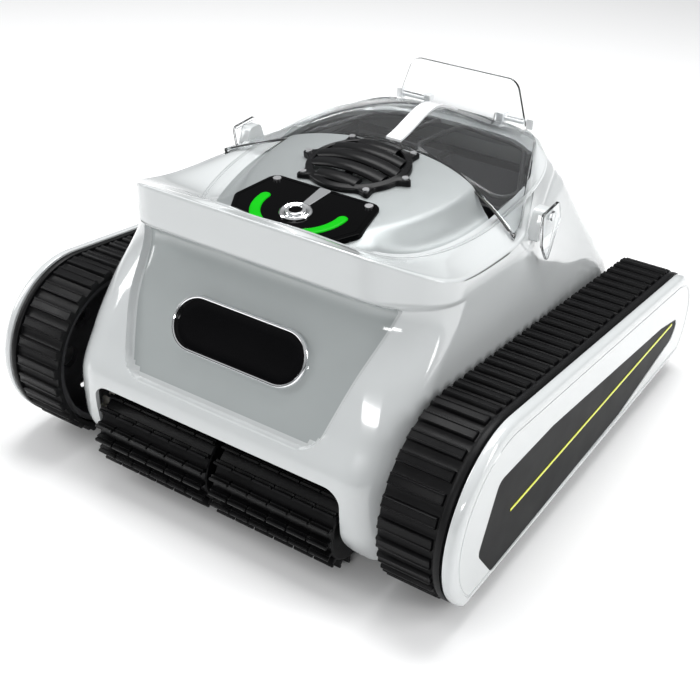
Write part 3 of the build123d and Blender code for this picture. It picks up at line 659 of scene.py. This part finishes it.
def on_nose(across, along, height):
    """A point on the sloped plane of the window, in millimetres."""
    c, s = math.cos(NOSE_LEAN), math.sin(NOSE_LEAN)
    y = -33 + SCOOP_DEPTH * c + along * s - height * c
    z = 152 - SCOOP_DEPTH * s + along * c + height * s
    return (across, y, z)


window_hole = skin([[on_nose(a, b, height) for a, b in slot_outline(21.6)] for height in (-30, 30)],
                   cap_first=True, cap_last=True)
openings.append(window_hole)
cut_away(shell, joined([outward(opening) for opening in openings]))

# Faces deep in the nose scoop get the darker grey, which is painted shade on the white moulding, not a second colour
# of plastic.
for face in shell.data.polygons:
    x, y, z = face.center.x / MM, (face.center.y - AXLE_Y) / MM, face.center.z / MM
    inside = abs(x) < scoop_half(z) - 0.5 and 104 < z < 200
    if inside and face.normal.y < -0.2 and y < smooth_value(z, 1) + 25:
        face.material_index = int(scoop_depth(np.array([[x, y]]), z)[0] > 0.9)
settle(shell, "body", ["upper_shell"])

# %% [markdown]
# ## Window in the nose
# A black glossy window sits in the scoop behind a thin bright bezel. The bezel is a rounded bead
# swept round the slot, so it catches one clean line of light, and the window is a shallow dish.


# %% Bezel and window
def slot_ring(profile):
    """A bead swept round the slot; profile is (radius, height) pairs."""
    return skin([[on_nose(a, b, height) for a, b in slot_outline(radius)] for radius, height in profile], ring=True)


bezel = build("window_bezel_bead", slot_ring(
    ((22.0, 0.0), (22.0, 1.6), (21.6, 2.6), (20.9, 3.2), (20.1, 3.3), (19.5, 2.9), (19.2, 2.0), (19.2, -2.5),
     (21.4, -2.5))), [bright_trim])
settle(bezel, "body", ["window_bezel"])
dish = ((19.1, -2.0), (19.1, 0.6), (18.4, 0.9), (12, 0.3), (5, 0.0), (0.5, -0.1))
window_rows = [[on_nose(a, b, height) for a, b in slot_outline(radius)] for radius, height in dish]
window = build("window_dish", skin(window_rows, cap_first=True, cap_last=True), [window_black])
settle(window, "body", ["front_window"])

# %% [markdown]
# ## Tracks
# The belt is a rubber band with raised bars. A track is recognised by its rhythm, so the bars follow
# the true path round both wheels at an even pitch. Each bar is a flat pad with a thin ridge at either
# edge, and a smooth rib runs along the outer side of the belt.

# %% The path of the belt
BAR_HEIGHT, BAND, BAR_COUNT = 4.0, 3.5, 66
BELT_IN, BELT_OUT = 150.0, 200.0
lean = math.pi / 2 - 2 * math.asin((R_FRONT - R_REAR) / math.hypot(WHEELBASE, R_FRONT - R_REAR))


def track_point(distance, out):
    """Place on the track path: distance along the band's surface, and height above it."""
    r1, r2 = R_FRONT - BAR_HEIGHT, R_REAR - BAR_HEIGHT
    rear_arc, front_arc = r2 * (lean + math.pi / 2), r1 * (1.5 * math.pi - lean)
    s = distance % (2 * WHEELBASE + rear_arc + front_arc)
    if s < WHEELBASE:
        return (s, BAR_HEIGHT - out)
    s -= WHEELBASE
    if s < rear_arc:
        turn = s / r2 - math.pi / 2
        return (WHEELBASE + (r2 + out) * math.cos(turn), R_REAR + (r2 + out) * math.sin(turn))
    s -= rear_arc
    if s < WHEELBASE:
        y = WHEELBASE + (r2 + out) * math.cos(lean) - s * math.sin(lean)
        z = R_REAR + (r2 + out) * math.sin(lean) + s * math.cos(lean)
        return (y, z)
    turn = lean + (s - WHEELBASE) / r1
    return ((r1 + out) * math.cos(turn), R_FRONT + (r1 + out) * math.sin(turn))


TRACK_LENGTH = (2 * WHEELBASE + (R_REAR - BAR_HEIGHT) * (lean + math.pi / 2)
                + (R_FRONT - BAR_HEIGHT) * (1.5 * math.pi - lean))
PITCH = TRACK_LENGTH / BAR_COUNT
print("bars every", round(PITCH, 1), "mm")

# %% Both belts
BAR_PROFILE = ((-7.6, 0.0), (-5.0, 0.0), (-4.3, 0.5), (-4.0, 3.4), (-3.5, 4.0), (-2.7, 4.0), (-2.3, 3.2),
               (2.3, 3.2), (2.7, 4.0), (3.5, 4.0), (4.0, 3.4), (4.3, 0.5), (5.0, 0.0))
ACROSS = ((BELT_IN, 0.0, 0.0), (BELT_IN + 0.4, 0.75, 0.0), (BELT_IN + 1.2, 1.0, 0.0), (191.0, 1.0, 0.0),
          (192.0, 0.8, 0.0), (192.6, 0.1, 0.0), (194.0, 0.0, 0.2), (194.6, 0.0, 2.6), (195.4, 0.0, 3.2),
          (198.6, 0.0, 3.2), (199.6, 0.0, 2.6), (BELT_OUT, 0.0, 0.0))
for name, side in (("left", -1), ("right", 1)):
    belt_rows = []
    for k in range(BAR_COUNT):
        for along, height in BAR_PROFILE:
            distance = (k + 0.5) * PITCH + along
            row = []
            for x, bar_share, rib in ACROSS:
                row.append((side * x, *track_point(distance, max(height * bar_share, rib))))
            row += [(side * x, *track_point(distance, -BAND)) for x in (BELT_OUT, BELT_IN)]
            belt_rows.append(row)
    belt = build(name + "_tread", skin(belt_rows, ring=True), [track_rubber], crease=38)
    settle(belt, "body", [name + "_belt"])

# %% [markdown]
# ## Side covers
# Each cover is a white plate with a generous rounded edge that follows the track. A fine groove runs
# inside the edge, and a long pointed pocket holds the black inset with its yellow line.


# %% Covers
def cover_line(inset, count=300):
    """Outline of the cover, cut flat along the bottom, moved inwards."""
    points = [track_point(TRACK_LENGTH * k / count, BAR_HEIGHT - inset) for k in range(count)]
    return [(y, max(z, 18.0 + inset - 1.0)) for y, z in points]


INSET_CORNERS = [(-36, 58), (-14, 108), (70, 106), (300, 78), (352, 66), (340, 48), (225, 29), (-10, 25)]
COVER_PROFILE = ((2.2, 201.5), (1.3, 201.8), (1.0, 202.6), (1.0, 205.4), (1.5, 207.2), (2.7, 208.7), (4.6, 209.6),
                 (7.0, COVER_OUT), (9.0, COVER_OUT), (9.4, COVER_OUT - 0.6), (10.4, COVER_OUT - 0.6),
                 (10.8, COVER_OUT - 0.1), (14.0, COVER_OUT - 0.1))
pocket = rounded(INSET_CORNERS, [9.2] * 8, steps=6)
for name, side in (("left", -1), ("right", 1)):
    plate_rows = [[(side * x, y, z) for y, z in cover_line(inset)] for inset, x in COVER_PROFILE]
    cover = build(name + "_side_cover", skin(plate_rows, cap_first=True, cap_last=True), [shell_white])
    cut_away(cover, outward(prism(inward(pocket, -0.2), "x", side * (COVER_OUT - 2.0), side * (COVER_OUT + 4))))
    settle(cover, "body", [name + "_cover"])

# %% [markdown]
# ## Front brushes
# Two rubber rollers sweep the floor. Each one is a drum with eighteen rows of short paddles, leaning
# back a little, with small gaps between the paddles so that dirt can't bridge them.

# %% Paddles
brush_centre = centre("right_brush")
BRUSH_Y, BRUSH_Z = (brush_centre.y - AXLE_Y) / MM, brush_centre.z / MM
BRUSH_R = size("right_brush")[2] / 2
SHAFT_R, DRUM_R, ROWS_ROUND = 4.2, 31.0, 18
PADDLE = ((DRUM_R - 1.5, -1.9), (DRUM_R + 4, -1.5), (BRUSH_R - 3, 0.1), (BRUSH_R - 0.9, 0.2), (BRUSH_R - 0.1, 1.1),
          (BRUSH_R - 0.5, 2.6), (BRUSH_R - 2.4, 2.3), (DRUM_R + 4, 1.2), (DRUM_R - 1.5, 1.9))


def paddle(x0, x1, turn):
    """One rubber paddle between two places along the drum."""
    c, s = math.cos(turn), math.sin(turn)
    section = []
    for radius, offset in PADDLE:
        section.append((BRUSH_Y + radius * c - offset * s, BRUSH_Z + radius * s + offset * c))
    edge = inward(section, 0.4)
    return skin([[(x0, *p) for p in edge], [(x0 + 0.5, *p) for p in section], [(x1 - 0.5, *p) for p in section],
                 [(x1, *p) for p in edge]], cap_first=True, cap_last=True)


DRUM_LINES = ((SHAFT_R, 3.4), (DRUM_R - 1.5, 3.4), (DRUM_R, 4.4), (DRUM_R, 110.6), (DRUM_R - 1.5, 111.6),
              (SHAFT_R, 111.6))
for name, side in (("left", -1), ("right", 1)):
    parts = [skin([[(side * x, y, z) for y, z in circle(radius, BRUSH_Y, BRUSH_Z, 48)] for radius, x in DRUM_LINES],
                  ring=True)]
    cuts = np.linspace(3.4, 111.6, 7)
    for k in range(ROWS_ROUND):
        turn = 2 * math.pi * k / ROWS_ROUND
        for x0, x1 in zip(cuts[:-1], cuts[1:]):
            low, high = sorted((side * (x0 + 0.6), side * (x1 - 0.6)))
            parts.append(paddle(low, high, turn))
    brush = build(name + "_brush_paddles", joined(parts), [brush_rubber], crease=30)
    settle(brush, name + "_brush", [name + "_brush"])

# %% [markdown]
# ## Things that sit on the deck
# The deck slopes up towards the rear, so its fittings need a small frame of reference of their own:
# one place on the deck, with one direction across, one along the slope and one straight out of it.

# %% A frame on the deck
DECK_TILT = math.atan(DECK_SLOPE)
BUTTON_Y, GRILLE_Y = 41.0, 125.0


def on_deck(middle_y, x, along, height):
    """A point counted from a place on the deck's centre line."""
    run = (middle_y - DECK_Y) / math.cos(DECK_TILT) + along
    c, s = math.cos(DECK_TILT), math.sin(DECK_TILT)
    return (x, DECK_Y + run * c - height * s, DECK_Z + run * s + height * c)


def deck_stack(middle_y, lines, **caps):
    """Skin a stack of (outline, height) pairs on the deck."""
    return skin([[on_deck(middle_y, x, y, height) for x, y in outline] for outline, height in lines], **caps)


# %% [markdown]
# The deck is crowned: level across the middle, where the panel and the grille sit, and falling
# towards the oval. It ends in an arc where the lid begins.

# %% Crowned deck
LID_ARC_Y, LID_ARC_R, DECK_CROWN = -56.0, 227.0, 18.0


def deck_point(turn, share):
    """A point of the deck in a direction from the hub; share 1 is the foot of the wall."""
    edge = oval_point(math.sin(turn), HUB_Y - math.cos(turn), BOWL)
    full = math.hypot(edge[0], edge[1] - HUB_Y)
    ahead = -math.cos(turn) * (HUB_Y - LID_ARC_Y)
    to_arc = -ahead + math.sqrt(ahead**2 + LID_ARC_R**2 - (HUB_Y - LID_ARC_Y) ** 2)
    reach = min(full, to_arc) * share
    x, y = math.sin(turn) * reach, HUB_Y - math.cos(turn) * reach
    flat = DECK_Z + DECK_SLOPE * (y - DECK_Y) - DECK_CROWN * (abs(x) / CROWN_X) ** 3.2
    near = float(ease((reach / full - 0.78) / 0.22))
    return (x, y, flat * (1 - near) + float(deck_edge(edge[0], edge[1], edge[2])) * near)


deck_turns = np.linspace(0, 2 * math.pi, 240, endpoint=False)
deck_shares = (0.02, 0.2, 0.4, 0.6, *np.linspace(0.7, 1.0, 16))
deck_rows = [[deck_point(turn, share) for turn in deck_turns] for share in deck_shares]
deck_rows.append([(x, y, z - 4.0) for x, y, z in deck_rows[-1]])
deck_plate = build("crowned_deck", skin(deck_rows, cap_first=True), [deck_silver])
settle(deck_plate, "body", ["deck"])

# %% Control panel
panel_outline = rounded([(-49, 41), (49, 41), (57, 0), (36, -38), (-36, -38), (-57, 0)], [9] * 6, steps=8)
panel_lines = [(inward(panel_outline, inset), height) for inset, height in
               ((0, -4.5), (0, 0.7), (0.3, 1.05), (0.9, 1.2), (3.2, 1.2), (3.5, 0.9), (4.0, 0.9), (4.3, 1.2))]
panel = build("panel_plate", deck_stack(BUTTON_Y, panel_lines, cap_first=True, cap_last=True), [panel_black])
cut_away(panel, outward(deck_stack(BUTTON_Y, [(circle(8.4, 0, 0), -6), (circle(8.4, 0, 0), 4)],
                                   cap_first=True, cap_last=True)))
settle(panel, "body", ["control_panel"])


# %% Light guides, button and trim
def curved_bar(radius, half_width, start, end, steps=20):
    """Outline of a bent bar with round ends, about a centre behind the button."""
    points = []
    for r, first, last in ((radius + half_width, start, end), (radius - half_width, end, start)):
        for k in range(steps + 1):
            turn = math.radians(first + (last - first) * k / steps)
            points.append((r * math.cos(turn), 8 + r * math.sin(turn)))
        tip = math.radians(last)
        for k in range(1, 8):
            around = tip + math.pi * k / 8 + (0 if r > radius else math.pi)
            points.append((radius * math.cos(tip) + half_width * math.cos(around),
                           8 + radius * math.sin(tip) + half_width * math.sin(around)))
    return points


guide_parts = []
for start, end in ((-66, 2), (178, 246)):
    bar = curved_bar(35, 4.2, start, end)
    lines = [(inward(bar, inset), height) for inset, height in
             ((0, 0.6), (0, 1.4), (0.4, 1.9), (1.2, 2.2), (2.6, 2.3))]
    guide_parts.append(deck_stack(BUTTON_Y, lines, cap_first=True, cap_last=True))
guides = build("panel_light_guides", joined(guide_parts), [light_green])
settle(guides, "body", ["light_guides"])

ring_lines = [(circle(radius, 0, 0, 64), height) for radius, height in
              ((12.6, 1.1), (12.6, 2.2), (12.0, 3.0), (11.0, 3.4), (9.6, 3.0), (8.5, 2.3), (8.4, 1.1))]
strip = rounded([(-3.2, 11), (3.2, 11), (5.4, 39.5), (-5.4, 39.5)], [0.5, 0.5, 1.5, 1.5], steps=4)
strip_lines = [(inward(strip, inset), height) for inset, height in ((0, 1.1), (0, 1.8), (0.4, 2.1))]
trim = build("button_trim", joined([deck_stack(BUTTON_Y, ring_lines, ring=True),
                                    deck_stack(BUTTON_Y, strip_lines, cap_first=True, cap_last=True)]), [bright_trim])
settle(trim, "body", ["button_ring"])

button_lines = [(circle(radius, 0, 0, 48), height) for radius, height in
                ((7.9, -4.5), (7.9, 3.4), (7.4, 4.2), (6.4, 4.5), (5.2, 4.2), (5.0, 3.6), (4.6, 3.5), (0.6, 3.9))]
button = build("button_cap", deck_stack(BUTTON_Y, button_lines, cap_first=True, cap_last=True),
               [bright_trim, panel_black])
button_middle = Vector(world(on_deck(BUTTON_Y, 0, 0, 4)))
for face in button.data.polygons:
    face.material_index = int((face.center - button_middle).length < 4.9 * MM)
settle(button, "power_button", ["power_button"])

# %% [markdown]
# ## Outlet grille
# The pump throws its water out through a round black grille. Five crowned louvres lie across it and
# six ears hold it down. The ears belong to the frame's own outline, which swells where each ear is.

# %% Grille frame and louvres
GRILLE_R, EARS = 42.0, (-5, 50, 130, 185, 230, 310)


def eared_circle(inset, count=240):
    """Circle that swells into an ear at each fixing."""
    points = []
    for k in range(count):
        turn = 360 * k / count
        swell = sum(math.exp(-(((turn - ear + 180) % 360 - 180) / 5.5) ** 2) for ear in EARS)
        radius = GRILLE_R - inset + 8.0 * swell
        points.append((radius * math.cos(math.radians(turn)), radius * math.sin(math.radians(turn))))
    return points


frame_lines = [(eared_circle(inset), height) for inset, height in
               ((0, -3), (0, 2.8), (0.5, 3.6), (1.4, 4.0))]
frame_lines += [(circle(radius, 0, 0, 240), height) for radius, height in
                ((38.6, 4.6), (37.4, 5.2), (36.4, 4.8), (35.8, 3.6), (35.8, 0))]
grille_parts = [deck_stack(GRILLE_Y, frame_lines, ring=True)]
LOUVRE = ((-6.4, -1.6), (-6.6, -0.4), (-5.6, 0.9), (-2.5, 1.9), (2.0, 2.2), (5.4, 1.2), (6.4, -0.2), (6.2, -1.6))
for k in range(-2, 3):
    half = math.sqrt(36.6**2 - (abs(14.4 * k) + 3.0) ** 2)
    louvre_rows = []
    for x in np.linspace(-half, half, 25):
        crown = 3.4 + 6.0 * (1 - (x**2 + (14.4 * k) ** 2) / 36.6**2)
        louvre_rows.append([on_deck(GRILLE_Y, x, 14.4 * k + along, crown + height) for along, height in LOUVRE])
    grille_parts.append(skin(louvre_rows, cap_first=True, cap_last=True))
spine = [(x, y) for x, y in ((-2.5, -36), (2.5, -36), (2.5, 36), (-2.5, 36))]
grille_parts.append(deck_stack(GRILLE_Y, [(spine, 0.4), (spine, 3.0)], cap_first=True, cap_last=True))
grille = build("grille_louvres", joined(grille_parts), [grille_black], crease=40)
settle(grille, "body", ["outlet_grille"])

# %% [markdown]
# ## Filter lid and wing
# The lid is one thin clear dome. Its front edge is an arc that meets the deck and its other edge
# follows the rim. Clear plastic shows mainly at its edges, so the sheet really has a thickness and a
# turned-down skirt, and a dark seal lies along the front edge.

# %% The dome
LID_INSET = 4.4


def lid_height(x, y):
    sides = CROWN * (x / CROWN_X) ** 2 * ease((318 - y) / 90)
    dome = 18.5 * np.exp(-(x / 95) ** 2 - ((y - 232) / 42) ** 2)
    return RIM_TOP + 1.5 - RIM_SLOPE * (y - RIM_START) - sides + dome


rim_plan = inward(full_plan(RIM_TOP), LID_INSET)
behind = rim_plan[np.hypot(rim_plan[:, 0], rim_plan[:, 1] - LID_ARC_Y) > LID_ARC_R]
ordered = behind[np.argsort(-np.arctan2(behind[:, 1] - 120, behind[:, 0]))]
run = np.concatenate([[0], np.cumsum(np.hypot(*np.diff(ordered, axis=0).T))])
LID_COLUMNS, LID_ROWS = 97, 26
share = np.linspace(0, 1, LID_COLUMNS)
outer_edge = np.stack([np.interp(share * run[-1], run, ordered[:, 0]),
                       np.interp(share * run[-1], run, ordered[:, 1])], 1)
end_turn = math.atan2(ordered[-1][0], ordered[-1][1] - LID_ARC_Y)
turns = np.linspace(-end_turn, end_turn, LID_COLUMNS)
front_edge = np.stack([LID_ARC_R * np.sin(turns), LID_ARC_Y + LID_ARC_R * np.cos(turns)], 1)
lid_rows = []
for down, edge in ((-2.6, front_edge), (0.0, front_edge)):
    lid_rows.append([(x, y, lid_height(x, y) + down) for x, y in edge])
for t in np.linspace(0, 1, LID_ROWS)[1:]:
    plan = front_edge * (1 - t) + outer_edge * t
    lid_rows.append([(x, y, lid_height(x, y)) for x, y in plan])
lid_rows.append([(x, y, lid_height(x, y) - 5.0) for x, y in outer_edge])
lid_points, lid_faces = skin(lid_rows, closed=False)
HINGE_X, HINGE_Y, HINGE_Z, HINGE_CLEAR = (32.5, 69.5), 297.0, 234.8, 11.0


def near_hinge(face):
    """True where the lid has to leave room for the knuckles it turns on."""
    x, y, z = np.mean([lid_points[i] for i in face], axis=0)
    return HINGE_X[0] < abs(x) < HINGE_X[1] and math.hypot(y - HINGE_Y, z - HINGE_Z) < HINGE_CLEAR


lid_faces = [face for face in lid_faces if not near_hinge(face)]
lid = build("clear_lid", (lid_points, lid_faces), [clear], crease=50)
wall = lid.modifiers.new("wall", "SOLIDIFY")
wall.thickness = 2.0 * MM
wall.offset = -1.0
settle(lid, "canopy", ["canopy"])


# %% Tubes along a line
def bead(points, radius, sides=8, closed=False):
    """A round bead along a line of points."""
    line = [Vector(p) for p in points]
    rings = []
    for i, here in enumerate(line):
        ahead = line[(i + 1) % len(line)] if closed or i < len(line) - 1 else here
        behind_it = line[i - 1] if closed or i > 0 else here
        along = (ahead - behind_it).normalized()
        side = along.cross(Vector((0, 0, 1)))
        side = side.normalized() if side.length > 1e-3 else Vector((1, 0, 0))
        up = side.cross(along)
        rings.append([tuple(here + side * radius * math.cos(2 * math.pi * k / sides)
                            + up * radius * math.sin(2 * math.pi * k / sides)) for k in range(sides)])
    return skin(rings, ring=closed, cap_first=not closed, cap_last=not closed)


seal_line = [(x, y - 1.2, lid_height(x, y) - 0.8) for x, y in front_edge[2:-2]]
lid_seal = build("lid_seal", bead(seal_line, 0.7), [seal_rubber])
settle(lid_seal, "body")

# %% [markdown]
# ## Side latches
# Each latch is a clear pointed flap that turns about a boss on the shell's shoulder.

# %% Flaps and bosses
PIVOT_Y, PIVOT_Z = 168.0, 218.0
FLAP = rounded([(151, 224), (180, 226), (187, 211), (171, 177), (157, 196)], [4, 4, 4, 3, 5], steps=5)
for name, side in (("left", -1), ("right", 1)):
    flap_rows = [[(side * x, y, z) for y, z in inward(FLAP, inset)] for inset, x in
                 ((0.5, 145.2), (0, 145.6), (0, 147.2), (0.5, 147.7), (3.0, 147.7), (3.4, 147.2))]
    parts = [skin(flap_rows, cap_first=True, cap_last=True)]
    knob_rows = [[(side * x, y, z) for y, z in circle(radius, PIVOT_Y, PIVOT_Z, 28)] for radius, x in
                 ((4.0, 147.4), (4.0, 148.6), (3.4, 149.2), (0.4, 149.4))]
    parts.append(skin(knob_rows, cap_first=True, cap_last=True))
    flap = build(name + "_latch_flap", joined(parts), [clear])
    settle(flap, name + "_latch", [name + "_latch"])
BOSS = rounded([(152, 200), (161, 223), (175, 223), (184, 200)], [2, 5.5, 5.5, 2], steps=6)
boss_parts = []
for side in (-1, 1):
    boss_rows = [[(side * x, y, z) for y, z in inward(BOSS, inset)] for inset, x in
                 ((0, 135.0), (0, 143.2), (0.5, 144.2), (1.4, 144.7))]
    boss_parts.append(skin(boss_rows, cap_first=True, cap_last=True))
bosses = build("latch_bosses", joined(boss_parts), [shell_white])
settle(bosses, "body", ["latch_pivots"])

# %% Clear wing
wing_low, wing_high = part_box("rear_wing")
WING_Y = ((wing_low.y + wing_high.y) / 2 - AXLE_Y) / MM
WING_TOP = wing_high.z / MM - 0.2
WING_FOOT = 232.5
wing_corners = [(-64, WING_FOOT), (64, WING_FOOT), (51.5, WING_TOP), (-51.5, WING_TOP)]
wing_outline = rounded(wing_corners, [1.5, 1.5, 12, 12])
wing_profile = ((0.9, -1.8), (0.25, -1.5), (0, -0.9), (0, 0.9), (0.25, 1.5), (0.9, 1.8))
wing_rows = [[(x, WING_Y + depth, z) for x, z in inward(wing_outline, inset)] for inset, depth in wing_profile]
wing = build("clear_wing", skin(wing_rows, cap_first=True, cap_last=True), [clear])
for side in (-1, 1):
    knuckle = circle(6.6, WING_Y + 7, 234.8, 24)
    cut_away(wing, outward(prism(knuckle, "x", side * 32.5, side * 69.5)))
settle(wing, "canopy", ["rear_wing"])

# %% [markdown]
# ## Under the lid
# Through the lid one sees the black rims of the two filter bays. They are bent bars that follow the
# opening, close under the clear dome.

# %% Rims of the filter bays
bay_parts = []
for side in (-1, 1):
    bay = rounded([(side * 12, 192), (side * 96, 176), (side * 104, 200), (side * 72, 274), (side * 12, 280)],
                  [8, 14, 24, 24, 8], steps=6)
    bay_line = [(x, y, lid_height(x, y) - 13.0) for x, y in bay]
    bay_parts.append(bead(bay_line, 2.2, closed=True))
bays = build("filter_bay_rims", joined(bay_parts), [basket_black])
settle(bays, "body")

# %% [markdown]
# ## Finishes for the pieces that stay as they are
# Everything not rebuilt above already has the right shape. Those nodes only need their finish.

# %% Dress the remaining nodes
DRESS = {
    "window_gasket": seal_rubber, "chassis_tray": tray_grey, "brush_bearing": tray_grey, "wheel_axles": steel,
    "shaft_bushes": bronze, "cover_insets": inset_black, "side_stripes": stripe_yellow, "motor_box": box_grey,
    "motor_box_lid": box_grey, "box_seal": seal_rubber, "box_screws": steel, "drive_motors": motor_can,
    "battery_pack": battery_wrap, "circuit_board": board_green, "pump_motor": motor_can, "pump_shaft": steel,
    "shaft_seals": seal_rubber, "impeller": grille_black, "outlet_duct": box_grey, "panel_screws": steel,
    "grille_screws": steel, "canopy_strut": rib_white, "hinge_posts": rib_white,
    "filter_basket": basket_black, "basket_mesh": mesh_grey,
    "inlet_throat": basket_black, "inlet_flap": seal_rubber, "charge_port": panel_black,
}
for side_name in ("left", "right"):
    DRESS[side_name + "_brush_gear"] = gear_nylon
    DRESS[side_name + "_drive_gear"] = gear_nylon
    DRESS[side_name + "_pinion"] = steel
    for wheel in ("_front_wheel", "_rear_wheel", "_roller"):
        DRESS[side_name + wheel] = wheel_plastic
for node, material in DRESS.items():
    mesh = frame["nodes"][node].data
    mesh.materials.clear()
    mesh.materials.append(material)
print("dressed", len(DRESS), "nodes")

# %% Measure and finish
low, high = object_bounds()
print("finished size in mm:", [round(side / MM, 1) for side in (high - low)])
